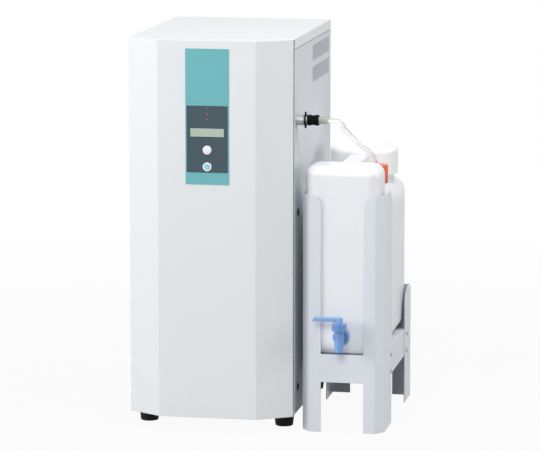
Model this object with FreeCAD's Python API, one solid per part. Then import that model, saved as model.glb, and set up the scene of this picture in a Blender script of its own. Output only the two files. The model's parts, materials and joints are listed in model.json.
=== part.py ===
"""A laboratory water still: a floor cabinet with a chamfered front door, and a rack beside it with its storage tank.

Millimetres. X runs to the right, Y to the rear and Z up. The working frame has X = 0 on the cabinet's middle,
Y = 0 on the door's front and Z = 0 on the floor. The finished pieces are moved so that the origin is the middle
of the whole footprint, at floor level.
"""

import FreeCAD, Part
import math
import os

Vector = FreeCAD.Vector
X_AXIS = Vector(1, 0, 0)
Y_AXIS = Vector(0, 1, 0)
Z_AXIS = Vector(0, 0, 1)

# Fits
RUNNING_GAP = 0.05
LOOSE_GAP = 0.3
SEAM_GAP = 1.0

# Cabinet
CABINET_WIDTH = 325.0
CABINET_DEPTH = 470.0
CABINET_HEIGHT = 770.0
SHEET = 1.5
SIDE_FRONT_Y = 60.0
SKIRT_HEIGHT = 20.0
COVER_LIP_Y = 48.0
PANEL_EDGE_RADIUS = 1.2
FRAME_LEG = 25.0
FRAME_SHEET = 1.5
PAN_LIP = 20.0

# Feet
FOOT_HEIGHT = 28.0
FOOT_TOP_RADIUS = 20.5
FOOT_BOTTOM_RADIUS = 17.5
FOOT_EDGE = 2.0
FOOT_INSET_X = 26.0
FOOT_FRONT_Y = 90.0
FOOT_REAR_Y = 440.0
FOOT_RECESS_RADIUS = 7.0
FOOT_RECESS_DEPTH = 14.0

# Screws, pan heads with a plain shank
SCREW_RADIUS = 2.0
SCREW_HEAD_RADIUS = 3.8
SCREW_HEAD_HEIGHT = 2.0
SCREW_LENGTH = 6.0
SCREW_RECESS = 1.1

# Door
DOOR_FLAT_WIDTH = 193.6
DOOR_CHAMFER_DEPTH = 39.5
DOOR_DEPTH = 45.0
DOOR_RETURN = 30.0
DOOR_RETURN_ENDS = 12.0

# Hinges
HINGE_HEIGHT = 74.0
HINGE_LOW_Z = 74.0
HINGE_BELOW_TOP = 104.0
HINGE_INSET_X = 5.0
HINGE_PIN_Y = 52.0
HINGE_BARREL_RADIUS = 4.5
HINGE_PIN_RADIUS = 2.5
HINGE_LEAF = 2.0
HINGE_LEAF_REACH = 26.0
HINGE_KNUCKLES = 5
HINGE_SLIT = 0.4

# Magnet catch
CATCH_Z = 380.0
CATCH_HEIGHT = 50.0
CATCH_WIDTH = 16.0
CATCH_INSET_X = 5.5
CATCH_GAP = 0.5

# Control panel
PANEL_CENTRE_X = 1.5
PLATE_WIDTH = 86.0
PLATE_BELOW_TOP = 280.0
PLATE_HEIGHT = 264.0
PLATE_THICKNESS = 0.8
OVERLAY_WIDTH = 81.2
OVERLAY_BELOW_TOP = 256.5
OVERLAY_HEIGHT = 130.0
OVERLAY_THICKNESS = 0.4
OVERLAY_CORNER = 3.0
WINDOW_WIDTH = 66.0
WINDOW_HEIGHT = 16.0
WINDOW_BELOW_TOP = 186.5
WINDOW_PROUD = 0.2
WINDOW_GAP = 0.1
LAMP_RADIUS = 1.5
LAMP_BELOW_TOP = 131.5
LAMP_PITCH = 10.8
LAMP_COUNT = 3
BUTTON_RADIUS = 5.6
BUTTON_PROUD = 2.2
BUTTON_TRAVEL = 1.5
BUTTON_DEPTH = 5.0
BUTTON_FLANGE_RADIUS = 7.4
BUTTON_FLANGE = 1.0
BUTTON_STEM_RADIUS = 3.0
BUTTON_DISH = 0.4
DISPLAY_BUTTON_BELOW_TOP = 212.3
START_BUTTON_BELOW_TOP = 245.1
BEZEL_RADIUS = 8.6
BEZEL_HEIGHT = 1.4

# Control board behind the door
BOARD_WIDTH = 88.0
BOARD_BELOW_TOP = 270.0
BOARD_HEIGHT = 150.0
BOARD_THICKNESS = 1.6
BOARD_STANDOFF = 8.5
STANDOFF_RADIUS = 3.0
STANDOFF_INSET = 5.0
DISPLAY_BLOCK_MARGIN = 4.0
BOARD_COVER_MARGIN = 6.0
BOARD_COVER_DEPTH = 30.0
BOARD_COVER_SHEET = 1.2

# Side vents
VENT_FRONT_Y = 257.0
VENT_REAR_Y = 447.0
VENTS_BELOW_TOP = (106.0, 63.0)
VENT_HEIGHT = 30.0
VENT_PITCH = 5.0
VENT_SLOT = 2.4

# Side plugs
PLUG_Y = 95.0
PLUG_Z = (77.0, 426.0)
PLUG_RADIUS = 6.0
PLUG_HEAD_RADIUS = 7.5
PLUG_HEAD = 1.0

# Inner walls
BULKHEAD_Y = 205.0
BULKHEAD_BELOW_TOP = 30.0
SHELF_Z = 328.5
SHELF_LIP = 15.0

# Boiler
BOILER_X = -60.0
BOILER_Y = 335.0
BOILER_RADIUS = 85.0
BOILER_WALL = 3.0
BOILER_HEIGHT = 170.0
BOILER_RIM_RADIUS = 92.0
BOILER_RIM = 6.0
LID_THICKNESS = 6.0
RISER_RADIUS = 11.0
RISER_BORE = 9.0
RISER_BELOW_TOP = 115.0
DRAIN_NOZZLE_RADIUS = 7.0
DRAIN_NOZZLE_LENGTH = 12.0
TUBE_RADIUS = 5.0
HEATER_RADIUS = 5.0
HEATER_SPREAD = 22.0
HEATER_OFFSET_Y = -40.0
HEATER_LOW_Z = 372.0
HEATER_TERMINAL = 12.0
HEATER_COLLAR_RADIUS = 8.0
HEATER_COLLAR = 3.0

# Condenser
CONDENSER_RADIUS = 46.0
CONDENSER_WALL = 2.5
CONDENSER_BELOW_TOP = 174.0
CONDENSER_HEIGHT = 152.0
COIL_RADIUS = 31.0
COIL_TUBE_RADIUS = 4.0
COIL_BELOW_TOP = 110.0
COIL_PITCH = 11.0
COIL_RINGS = 7
CLAMP_WIDTH = 14.0
CLAMP_BAND = 2.0
CLAMP_BELOW_TOP = 80.0
CLAMP_ARM = 12.0
NOZZLE_RADIUS = 8.0
NOZZLE_REACH = 14.0

# Level chamber and its float
CHAMBER_X = 75.0
CHAMBER_RADIUS = 24.0
CHAMBER_WALL = 2.0
CHAMBER_LOW_Z = 345.0
CHAMBER_HIGH_Z = 470.0
CHAMBER_FOOT_RADIUS = 12.0
CHAMBER_LINK_Z = 365.0
CHAMBER_INLET_Z = 400.0
CHAMBER_INLET_REACH = 12.0
FLOAT_RADIUS = 19.0
FLOAT_HEIGHT = 24.0
FLOAT_BORE = 3.5
FLOAT_ROD_RADIUS = 3.0

# Water treatment
BRACKET_Z = 330.0
BRACKET_SHEET = 2.0
BRACKET_LEFT_X = -150.0
BRACKET_RIGHT_X = 72.0
BRACKET_FRONT_Y = 95.0
BRACKET_FLANGE = 30.0
TREATMENT_Y = 140.0
PREFILTER_X = -100.0
PREFILTER_RADIUS = 38.0
PREFILTER_LOW_Z = 95.0
PREFILTER_HEAD_RADIUS = 42.0
PREFILTER_HEAD = 30.0
RESIN_X = 20.0
RESIN_RADIUS = 44.0
RESIN_CAP_RADIUS = 47.0
RESIN_CAP = 14.0
RESIN_LOW_Z = 60.0
PORT_SPREAD = 15.0
PORT_RADIUS = 6.0
PORT_HEIGHT = 13.0
VALVE_X = 90.0
VALVE_LOW_Z = 250.0
VALVE_BODY = 36.0
VALVE_COIL = 42.0
VALVE_FRONT_Y = 162.0
INNER_BEND = 12.0

# Power box with its breaker
POWER_LEFT_X = 10.0
POWER_RIGHT_X = 150.0
POWER_FRONT_Y = 125.0
POWER_LOW_Z = 430.0
POWER_BELOW_OUTLET = 26.0
BREAKER_X = 80.0
BREAKER_SHARE = 0.58
BREAKER_WIDTH = 28.0
BREAKER_HEIGHT = 44.0
BREAKER_DEPTH = 20.0
TOGGLE_HUB_RADIUS = 7.0
TOGGLE_PIVOT_DEPTH = 10.0
TOGGLE_TRUNNION_RADIUS = 2.0
TOGGLE_TRUNNION = 3.0
TOGGLE_REACH = 24.0
TOGGLE_THICKNESS = 6.0
TOGGLE_WIDTH = 14.0
TOGGLE_REST_DEG = 20.0

# Drain cock
COCK_X = 125.0
COCK_Z = 80.0
COCK_BODY_RADIUS = 10.0
COCK_FRONT_Y = 128.0
COCK_AXIS_Y = 150.0
COCK_BONNET_RADIUS = 7.0
COCK_BONNET = 7.0
COCK_SPOUT_RADIUS = 6.0
COCK_SPOUT_LENGTH = 24.0
COCK_LEVER_LENGTH = 46.0
COCK_LEVER_WIDTH = 10.0
COCK_LEVER_THICKNESS = 4.0
COCK_STEM_RADIUS = 3.0

# Rear fittings
INLET_X = 90.0
INLET_Z = 120.0
COOLANT_RADIUS = 6.5
COOLANT_BORE = 3.5
COOLANT_FLANGE_RADIUS = 12.0
COOLANT_FLANGE = 4.0
COOLANT_OUTSIDE = 30.0
COOLANT_INSIDE = 15.0
GLAND_X = 120.0
GLAND_Z = 200.0
GLAND_RADIUS = 14.0
GLAND_BORE = 4.5
GLAND_LENGTH = 20.0
GLAND_SHANK_RADIUS = 9.0
GLAND_SHANK = 10.0

# Product outlet on the right side
OUTLET_Y = 75.0
OUTLET_BELOW_TOP = 159.0
OUTLET_STUB_RADIUS = 10.25
OUTLET_STUB = 14.7
OUTLET_TAIL = 17.5
OUTLET_BORE = 4.0
OUTLET_PIPE_RADIUS = 7.0
OUTLET_HOLE_RADIUS = 8.5
OUTLET_SHANK_RADIUS = 8.0
OUTLET_NUT_RADIUS = 12.5
OUTLET_NUT = 10.0
OUTLET_TURN_INSET = 50.5
OUTLET_BEND = 22.0
RETAINER_REACH = 17.5
RETAINER_THICKNESS = 2.4
RETAINER_RADIUS = 13.0
RETAINER_TAB_RADIUS = 15.75
RETAINER_TAB_WIDTH = 9.0
UNION_REACH = 22.5
UNION_LENGTH = 23.0
UNION_RADIUS = 10.5
UNION_WAIST_RADIUS = 9.5
UNION_FLUTES = 12
UNION_FLUTE_RADIUS = 1.3
SLEEVE_REACH = 63.5
SLEEVE_RADIUS = 7.2

# Delivery hose, from the outlet's sleeve to the tank's port
HOSE_RADIUS = 5.0
HOSE_SHARES = [(0.145, 0.0, 0.0), (0.303, 0.011, 0.030), (0.385, 0.068, 0.185), (0.530, 0.259, 0.387),
               (0.758, 0.597, 0.645)]
HOSE_LAST_RUN = 18.0

# Rack, bent from painted sheet
RACK_GAP = 15.9
RACK_WIDTH = 162.7
RACK_FRONT_Y = 42.3
RACK_REAR_Y = 412.7
RACK_SHEET = 1.6
RACK_BEVEL_X = 16.3
RACK_BEVEL_Y = 21.35
RACK_FRONT_HEIGHT = 469.0
RACK_FLANGE_END_Y = 152.0
RACK_WINDOW_WIDTH = 84.0
RACK_WINDOW_LOW_Z = 155.0
RACK_KNEE_HIGH_Z = 99.5
RACK_STRIP_RADIUS = 22.0
RACK_FLANGE_CHAMFER_Y = 26.0
RACK_FLANGE_CHAMFER_Z = 24.0
REAR_FRAME_FRONT_Y = 334.0
REAR_FRAME_HEIGHT = 233.0
REAR_FRAME_RADIUS = 40.0
REAR_KNEE_WIDTH = 88.0
TRAY_TOP_Z = 152.5
TRAY_FLANGE = 54.5
TRAY_FRONT_Y = 66.0
RACK_SCREW_Z = (105.0, 139.5)
RACK_SCREW_FRONT_Y = 141.0
RACK_SCREW_REAR_Y = 357.0

# Storage tank, a blow-moulded container
TANK_OFFSET_X = -1.75
TANK_WIDTH = 149.0
TANK_FRONT_Y = 46.0
TANK_DEPTH = 356.0
TANK_WALL = 2.5
TANK_CORNER = 27.0
TANK_BASE_RADIUS = 26.0
TANK_HEIGHT = 315.5
TANK_SHOULDER_RADIUS = 46.0
HUMP_DEPTH = 86.0
HUMP_RISE = 57.5
HUMP_RADIUS = 21.0
HANDLE_WIDTH = 37.0
HANDLE_DROP = 3.5
HANDLE_THICKNESS = 22.0
HANDLE_POST_Y = 224.0
HANDLE_END_Y = 248.0
HANDLE_EDGE = 6.0
NECK_Y = 320.0
NECK_RADIUS = 60.0
NECK_WALL = 4.0
NECK_RISE = 52.0
CAP_RADIUS = 68.0
CAP_WALL = 5.0
CAP_RISE = 62.0
CAP_THICKNESS = 3.0
CAP_SKIRT_RISE = 8.5
CAP_EDGE_RADIUS = 9.0
LID_FLANGE = 2.5
LID_PLUG = 8.0
LID_CROWN_RADIUS = 50.0
TAP_BOSS_RADIUS = 23.0
TAP_BOSS_PROUD = 1.0
TAP_BOSS_DEPTH = 8.0

# Filling port of the tank
FILL_OFFSET_X = 49.6
FILL_Y = 168.0
FILL_NECK_RADIUS = 15.0
FILL_NECK_BORE = 11.0
FILL_NECK_RISE = 38.0
FILL_CAP_RADIUS = 21.5
FILL_CAP_RISE = 10.0
FILL_CAP_HEIGHT = 36.0
FILL_CAP_GRIPS = 30
FILL_GRIP_RADIUS = 1.0
NIPPLE_STEM_RADIUS = 4.0
NIPPLE_BORE = 2.5
NIPPLE_FLANGE = 2.5
NIPPLE_BALL_RISE = 1.5
NIPPLE_BALL_RADIUS = 5.0
NIPPLE_COLLAR_REACH = 8.0
NIPPLE_DIRECTION = (-0.30, -0.53, 0.79)

# Tap
TAP_Y = 19.0
TAP_RISE = 38.1
TAP_BODY_RADIUS = 9.25
TAP_BODY_ABOVE = 16.4
TAP_BODY_BELOW = 9.6
TAP_SPOUT_RADIUS = 8.3
TAP_SPOUT_BORE = 5.5
TAP_SPOUT_LEAN_DEG = 12.0
TAP_SPOUT_LENGTH = 32.0
TAP_SPOUT_ABOVE = 5.4
TAP_STEM_RADIUS = 8.0
TAP_STEM_INSIDE = 14.0
TAP_FLANGE_RADIUS = 16.0
TAP_FLANGE = 7.0
TAP_COLLAR_RADIUS = 14.35
TAP_COLLAR_HEIGHT = 14.6
TAP_COLLAR_GRIPS = 12
TAP_COLLAR_GRIP_RADIUS = 1.2
TAP_LEVER_STEM_RADIUS = 5.6
TAP_HUB_RADIUS = 6.6
TAP_HUB_HEIGHT = 3.4
TAP_LEVER_REACH = 53.0
TAP_LEVER_HEIGHT = 8.6
TAP_LEVER_WIDTH = 10.0
TAP_LEVER_TIP = 12.0

# Lines that follow from the sizes above
HALF_WIDTH = CABINET_WIDTH / 2
INNER_HALF = HALF_WIDTH - SHEET
LEG_INNER_HALF = INNER_HALF - FRAME_SHEET
BASE_TOP_Z = FOOT_HEIGHT + SHEET
COVER_UNDER_Z = CABINET_HEIGHT - SHEET
SKIRT_LOW_Z = CABINET_HEIGHT - SKIRT_HEIGHT
SIDE_TOP_Z = SKIRT_LOW_Z - SEAM_GAP
FRAME_FRONT_Y = SIDE_FRONT_Y - SEAM_GAP
FRAME_REAR_Y = CABINET_DEPTH - SHEET
BULKHEAD_REAR_Y = BULKHEAD_Y + SHEET
SHELF_TOP_Z = SHELF_Z + SHEET
BOILER_RIM_Z = SHELF_TOP_Z + BOILER_HEIGHT
LID_TOP_Z = BOILER_RIM_Z + LID_THICKNESS
HINGE_PIN_X = HALF_WIDTH - HINGE_INSET_X
HINGE_HIGH_Z = CABINET_HEIGHT - HINGE_BELOW_TOP
PLATE_LOW_Z = CABINET_HEIGHT - PLATE_BELOW_TOP
OVERLAY_LOW_Z = CABINET_HEIGHT - OVERLAY_BELOW_TOP
WINDOW_LOW_Z = CABINET_HEIGHT - WINDOW_BELOW_TOP
LAMP_TOP_Z = CABINET_HEIGHT - LAMP_BELOW_TOP
DISPLAY_BUTTON_Z = CABINET_HEIGHT - DISPLAY_BUTTON_BELOW_TOP
START_BUTTON_Z = CABINET_HEIGHT - START_BUTTON_BELOW_TOP
BOARD_LOW_Z = CABINET_HEIGHT - BOARD_BELOW_TOP
BULKHEAD_TOP_Z = CABINET_HEIGHT - BULKHEAD_BELOW_TOP
RISER_TOP_Z = CABINET_HEIGHT - RISER_BELOW_TOP
CONDENSER_LOW_Z = CABINET_HEIGHT - CONDENSER_BELOW_TOP
CONDENSER_HIGH_Z = CONDENSER_LOW_Z + CONDENSER_HEIGHT
COIL_LOW_Z = CABINET_HEIGHT - COIL_BELOW_TOP
CLAMP_LOW_Z = CABINET_HEIGHT - CLAMP_BELOW_TOP
OUTLET_Z = CABINET_HEIGHT - OUTLET_BELOW_TOP
OUTLET_STUB_END_X = HALF_WIDTH + OUTLET_STUB
OUTLET_INNER_X = LEG_INNER_HALF - OUTLET_TAIL
OUTLET_TURN_X = HALF_WIDTH - OUTLET_TURN_INSET
RETAINER_X = HALF_WIDTH + RETAINER_REACH
UNION_X = HALF_WIDTH + UNION_REACH
SLEEVE_END_X = HALF_WIDTH + SLEEVE_REACH
POWER_HIGH_Z = OUTLET_Z - POWER_BELOW_OUTLET
BREAKER_Z = POWER_LOW_Z + BREAKER_SHARE * (POWER_HIGH_Z - POWER_LOW_Z)
RACK_LEFT_X = HALF_WIDTH + RACK_GAP
RACK_RIGHT_X = RACK_LEFT_X + RACK_WIDTH
RACK_CENTRE_X = RACK_LEFT_X + RACK_WIDTH / 2
TANK_CENTRE_X = RACK_CENTRE_X + TANK_OFFSET_X
TANK_REAR_Y = TANK_FRONT_Y + TANK_DEPTH
TANK_DECK_Z = TRAY_TOP_Z + TANK_HEIGHT
HUMP_TOP_Z = TANK_DECK_Z + HUMP_RISE
HANDLE_TOP_Z = HUMP_TOP_Z - HANDLE_DROP
NECK_TOP_Z = TANK_DECK_Z + NECK_RISE
CAP_TOP_Z = TANK_DECK_Z + CAP_RISE
CAP_SKIRT_Z = TANK_DECK_Z + CAP_SKIRT_RISE
FILL_X = TANK_CENTRE_X + FILL_OFFSET_X
FILL_NECK_TOP_Z = TANK_DECK_Z + FILL_NECK_RISE
FILL_NECK_LOW_Z = TANK_DECK_Z - TANK_SHOULDER_RADIUS
FILL_CAP_LOW_Z = TANK_DECK_Z + FILL_CAP_RISE
FILL_CAP_HIGH_Z = FILL_CAP_LOW_Z + FILL_CAP_HEIGHT
NIPPLE_BALL_Z = FILL_CAP_HIGH_Z + NIPPLE_BALL_RISE
TAP_X = TANK_CENTRE_X
TAP_Z = TRAY_TOP_Z + TAP_RISE
TAP_BODY_TOP_Z = TAP_Z + TAP_BODY_ABOVE
TAP_BODY_LOW_Z = TAP_Z - TAP_BODY_BELOW
TAP_SPOUT_START_Z = TAP_Z + TAP_SPOUT_ABOVE
OVERLAY_FRONT_Y = -PLATE_THICKNESS - OVERLAY_THICKNESS


def box(x0, x1, y0, y1, z0, z1):
    """A block between two corners."""
    return Part.makeBox(x1 - x0, y1 - y0, z1 - z0, Vector(x0, y0, z0))


def rod(radius, start, length, axis):
    """A round bar from a start point along an axis."""
    return Part.makeCylinder(radius, length, Vector(*start), axis)


def pipe(outer, inner, start, length, axis):
    """A round tube with a plain bore."""
    return rod(outer, start, length, axis).cut(rod(inner, start, length, axis))


def plan_prism(points, z0, z1):
    """A plan outline drawn as straight lines, raised from z0 to z1."""
    corners = [Vector(x, y, z0) for x, y in points]
    face = Part.Face(Part.makePolygon(corners + [corners[0]]))
    return face.extrude(Vector(0, 0, z1 - z0))


def turned(points, centre, axis, reference):
    """A solid of revolution: points are (radius, distance along the axis) from the centre."""
    base = Vector(*centre)
    corners = [base + reference * r + axis * a for r, a in points]
    face = Part.Face(Part.makePolygon(corners + [corners[0]]))
    return face.revolve(base, axis, 360)


def edges_where(shape, test):
    """The edges whose ends both pass a test."""
    return [e for e in shape.Edges if all(test(v.Point) for v in e.Vertexes)]


def joined(shapes):
    """Several overlapping solids as one, with needless seams removed."""
    return shapes[0].fuse(shapes[1:]).removeSplitter()


def offset_outline(points, distance):
    """A convex outline, listed anticlockwise, moved inwards by a distance."""
    count = len(points)
    lines = []
    for i in range(count):
        (x0, y0), (x1, y1) = points[i], points[(i + 1) % count]
        length = math.hypot(x1 - x0, y1 - y0)
        nx, ny = -(y1 - y0) / length, (x1 - x0) / length
        lines.append((nx, ny, nx * x0 + ny * y0 + distance))
    result = []
    for i in range(count):
        a0, b0, c0 = lines[i - 1]
        a1, b1, c1 = lines[i]
        det = a0 * b1 - a1 * b0
        result.append(((c0 * b1 - c1 * b0) / det, (a0 * c1 - a1 * c0) / det))
    return result


def rounded_block(x0, x1, y0, y1, z0, z1, corner, top, bottom):
    """A block with rounded upright corners and rounded top and bottom edges."""
    shape = box(x0, x1, y0, y1, z0, z1)
    upright = [e for e in shape.Edges if abs(e.Vertexes[0].Z - e.Vertexes[1].Z) > (z1 - z0) / 2]
    shape = shape.makeFillet(corner, upright)
    for level, radius in ((z1, top), (z0, bottom)):
        if radius > 0:
            rim = edges_where(shape, lambda p, z=level: abs(p.z - z) < 0.01)
            shape = shape.makeFillet(radius, rim)
    return shape


def bend_radii(points, share):
    """The arc radius at each inner point of a route: a share of its shorter run over tan(half the turn)."""
    radii = []
    for before, at, after in zip(points, points[1:], points[2:]):
        run_in, run_out = at - before, after - at
        turn = run_in.getAngle(run_out)
        radii.append(share * min(run_in.Length, run_out.Length) / math.tan(turn / 2))
    return radii


def route_wire(points, radii):
    """Straight runs joined by tangent arcs."""
    edges = []
    start = points[0]
    for i, radius in enumerate(radii):
        at = points[i + 1]
        into = (at - points[i]).normalize()
        out = (points[i + 2] - at).normalize()
        turn = into.getAngle(out)
        reach = radius * math.tan(turn / 2)
        begin, end = at - into * reach, at + out * reach
        towards = (out - into).normalize()
        middle = at + towards * (radius / math.cos(turn / 2) - radius)
        edges.append(Part.LineSegment(start, begin).toShape())
        edges.append(Part.Arc(begin, middle, end).toShape())
        start = end
    edges.append(Part.LineSegment(start, points[-1]).toShape())
    return Part.Wire(edges)


def round_tube(points, radii, radius):
    """A solid round tube along a route."""
    path = route_wire(points, radii)
    direction = (points[1] - points[0]).normalize()
    section = Part.Wire([Part.makeCircle(radius, points[0], direction)])
    return path.makePipeShell([section], True, False), path.Length


def inner_tube(points):
    """A tube inside the cabinet, with the same bend at every corner."""
    route = [Vector(*p) for p in points]
    return round_tube(route, [INNER_BEND] * (len(route) - 2), TUBE_RADIUS)[0]


def side_to_side(shape):
    """A shape and its mirror image in the cabinet's middle plane."""
    return [shape, shape.mirror(Vector(0, 0, 0), X_AXIS)]


def screw_recess(top, axis):
    """A cross-shaped recess, cut down from the top of a head whose axis is level."""
    across = axis.cross(Z_AXIS)
    length, width = SCREW_HEAD_RADIUS * 0.55, SCREW_HEAD_RADIUS * 0.12
    slots = []
    for side, rise in ((across * length, Z_AXIS * width), (across * width, Z_AXIS * length)):
        corners = [top - side - rise, top + side - rise, top + side + rise, top - side + rise]
        face = Part.Face(Part.makePolygon(corners + [corners[0]]))
        slots.append(face.extrude(axis * -SCREW_RECESS))
    return slots


def screw(head_seat, axis):
    """A pan-head screw: its head stands on the seat, and its shank goes the other way."""
    seat = Vector(*head_seat)
    shank = Part.makeCylinder(SCREW_RADIUS, SCREW_LENGTH, seat, axis * -1)
    head = Part.makeCylinder(SCREW_HEAD_RADIUS, SCREW_HEAD_HEIGHT, seat, axis)
    crown = edges_where(head, lambda p: (p - seat).dot(axis) > SCREW_HEAD_HEIGHT / 2)
    whole = joined([head.makeFillet(SCREW_HEAD_HEIGHT * 0.6, crown), shank])
    return whole.cut(screw_recess(seat + axis * SCREW_HEAD_HEIGHT, axis))


def screw_hole(seat, axis):
    """The clearance hole for a screw, through what it fastens."""
    start = Vector(*seat) + axis * SEAM_GAP
    return Part.makeCylinder(SCREW_RADIUS + LOOSE_GAP / 2, SCREW_LENGTH + 2 * SEAM_GAP, start, axis * -1)


def foot_centres():
    """The four feet under the cabinet."""
    x = HALF_WIDTH - FOOT_INSET_X
    return [(sx * x, y) for sx in (-1, 1) for y in (FOOT_FRONT_Y, FOOT_REAR_Y)]


def rear_screw_seats():
    """The screws that hold the rear panel to the rear posts."""
    x = INNER_HALF - FRAME_LEG / 2
    heights = [BASE_TOP_Z + FRAME_LEG, CABINET_HEIGHT / 2, SIDE_TOP_Z - FRAME_LEG]
    return [(sx * x, CABINET_DEPTH, z) for sx in (-1, 1) for z in heights]


def rack_screw_seats():
    """The screws that hold the rack's frames to its tray, each with the direction its head faces."""
    seats = []
    for x, axis in ((RACK_LEFT_X, X_AXIS * -1), (RACK_RIGHT_X, X_AXIS)):
        for y in (RACK_SCREW_FRONT_Y, RACK_SCREW_REAR_Y):
            seats += [((x, y, z), axis) for z in RACK_SCREW_Z]
    return seats


# Cabinet

def base_pan():
    """The floor of the cabinet, with lips between the posts."""
    side = INNER_HALF
    leg = FRAME_LEG
    lip_top = BASE_TOP_Z + PAN_LIP
    plate = box(-side, side, FRAME_FRONT_Y, FRAME_REAR_Y, FOOT_HEIGHT, BASE_TOP_Z)
    lips = [
        box(-side + leg, side - leg, FRAME_FRONT_Y, FRAME_FRONT_Y + SHEET, FOOT_HEIGHT, lip_top),
        box(-side + leg, side - leg, FRAME_REAR_Y - SHEET, FRAME_REAR_Y, FOOT_HEIGHT, lip_top),
    ]
    right_lip = box(side - SHEET, side, FRAME_FRONT_Y + leg, FRAME_REAR_Y - leg, FOOT_HEIGHT, lip_top)
    pan = joined([plate] + lips + side_to_side(right_lip))
    hole = SCREW_RADIUS + LOOSE_GAP / 2
    return pan.cut([rod(hole, (x, y, FOOT_HEIGHT), SHEET, Z_AXIS) for x, y in foot_centres()])


def rubber_feet():
    """Tapered feet, each with a recess for its screw."""
    feet = []
    for x, y in foot_centres():
        foot = Part.makeCone(FOOT_BOTTOM_RADIUS, FOOT_TOP_RADIUS, FOOT_HEIGHT, Vector(x, y, 0))
        foot = foot.makeFillet(FOOT_EDGE, edges_where(foot, lambda p: p.z < 0.01))
        recess = rod(FOOT_RECESS_RADIUS, (x, y, 0), FOOT_RECESS_DEPTH, Z_AXIS)
        hole = rod(SCREW_RADIUS + LOOSE_GAP / 2, (x, y, 0), FOOT_HEIGHT, Z_AXIS)
        feet.append(foot.cut([recess, hole]))
    return feet


def foot_screws():
    """One long screw up through each foot, with its nut inside the pan."""
    result = []
    for x, y in foot_centres():
        seat = FOOT_RECESS_DEPTH
        nut_top = BASE_TOP_Z + 2 * SCREW_HEAD_HEIGHT
        shank = rod(SCREW_RADIUS, (x, y, seat), nut_top - seat, Z_AXIS)
        head = rod(SCREW_HEAD_RADIUS, (x, y, seat - SCREW_HEAD_HEIGHT), SCREW_HEAD_HEIGHT, Z_AXIS)
        nut = rod(SCREW_HEAD_RADIUS, (x, y, BASE_TOP_Z), nut_top - BASE_TOP_Z, Z_AXIS)
        result.append(joined([shank, head, nut]))
    return result


def chassis_frame():
    """Four angle posts and four top rails, welded."""
    outer, inner, leg = INNER_HALF, LEG_INNER_HALF, FRAME_LEG
    top = COVER_UNDER_Z
    front, rear = FRAME_FRONT_Y, FRAME_REAR_Y
    skin = FRAME_SHEET
    front_post = plan_prism(
        [(outer - leg, front), (outer, front), (outer, front + leg), (inner, front + leg),
         (inner, front + skin), (outer - leg, front + skin)], BASE_TOP_Z, top)
    rear_post = plan_prism(
        [(outer - leg, rear), (outer - leg, rear - skin), (inner, rear - skin), (inner, rear - leg),
         (outer, rear - leg), (outer, rear)], BASE_TOP_Z, top)
    rear_holes = [screw_hole(seat, Y_AXIS) for seat in rear_screw_seats() if seat[0] > 0]
    outlet_hole = rod(OUTLET_HOLE_RADIUS, (inner - SEAM_GAP, OUTLET_Y, OUTLET_Z), 2 * SHEET + SEAM_GAP, X_AXIS)
    right_front = front_post.cut(outlet_hole)
    left_front = front_post.mirror(Vector(0, 0, 0), X_AXIS)
    side_rail = box(inner, outer, front + leg, rear - leg, top - leg, top)
    front_rail = box(-outer + leg, outer - leg, front, front + skin, top - leg, top)
    rear_rail = box(-outer + leg, outer - leg, rear - skin, rear, top - leg, top)
    posts = [right_front, left_front] + side_to_side(rear_post.cut(rear_holes))
    return posts + side_to_side(side_rail) + [front_rail, rear_rail]


def side_panel():
    """The right side panel before its outlet hole: a flat sheet with vents and two plug holes."""
    panel = box(INNER_HALF, HALF_WIDTH, SIDE_FRONT_Y, CABINET_DEPTH, FOOT_HEIGHT, SIDE_TOP_Z)
    edge = edges_where(panel, lambda p: p.x > HALF_WIDTH - 0.01 and p.y < SIDE_FRONT_Y + 0.01)
    panel = panel.makeFillet(PANEL_EDGE_RADIUS, edge)
    count = round((VENT_REAR_Y - VENT_FRONT_Y) / VENT_PITCH)
    cuts = []
    for drop in VENTS_BELOW_TOP:
        z = CABINET_HEIGHT - drop
        for i in range(count):
            y = VENT_FRONT_Y + (i + 0.5) * VENT_PITCH
            cuts.append(box(INNER_HALF - 1, HALF_WIDTH + 1, y - VENT_SLOT / 2, y + VENT_SLOT / 2, z, z + VENT_HEIGHT))
    cuts += [rod(PLUG_RADIUS + RUNNING_GAP, (INNER_HALF - 1, PLUG_Y, z), SHEET + 2, X_AXIS) for z in PLUG_Z]
    return panel.cut(cuts)


def right_side_panel():
    """The side panel that the outlet comes through."""
    hole = rod(OUTLET_HOLE_RADIUS, (INNER_HALF - 1, OUTLET_Y, OUTLET_Z), SHEET + 2, X_AXIS)
    return side_panel().cut(hole)


def left_side_panel():
    """The side panel's mirror image, with no outlet."""
    return side_panel().mirror(Vector(0, 0, 0), X_AXIS)


def side_plugs():
    """Push-in plugs in both side panels."""
    plugs = []
    for z in PLUG_Z:
        stem = rod(PLUG_RADIUS, (INNER_HALF, PLUG_Y, z), SHEET, X_AXIS)
        head = rod(PLUG_HEAD_RADIUS, (HALF_WIDTH, PLUG_Y, z), PLUG_HEAD, X_AXIS)
        rim = edges_where(head, lambda p: p.x > HALF_WIDTH + PLUG_HEAD / 2)
        plugs += side_to_side(joined([stem, head.makeFillet(PLUG_HEAD / 2, rim)]))
    return plugs


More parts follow.
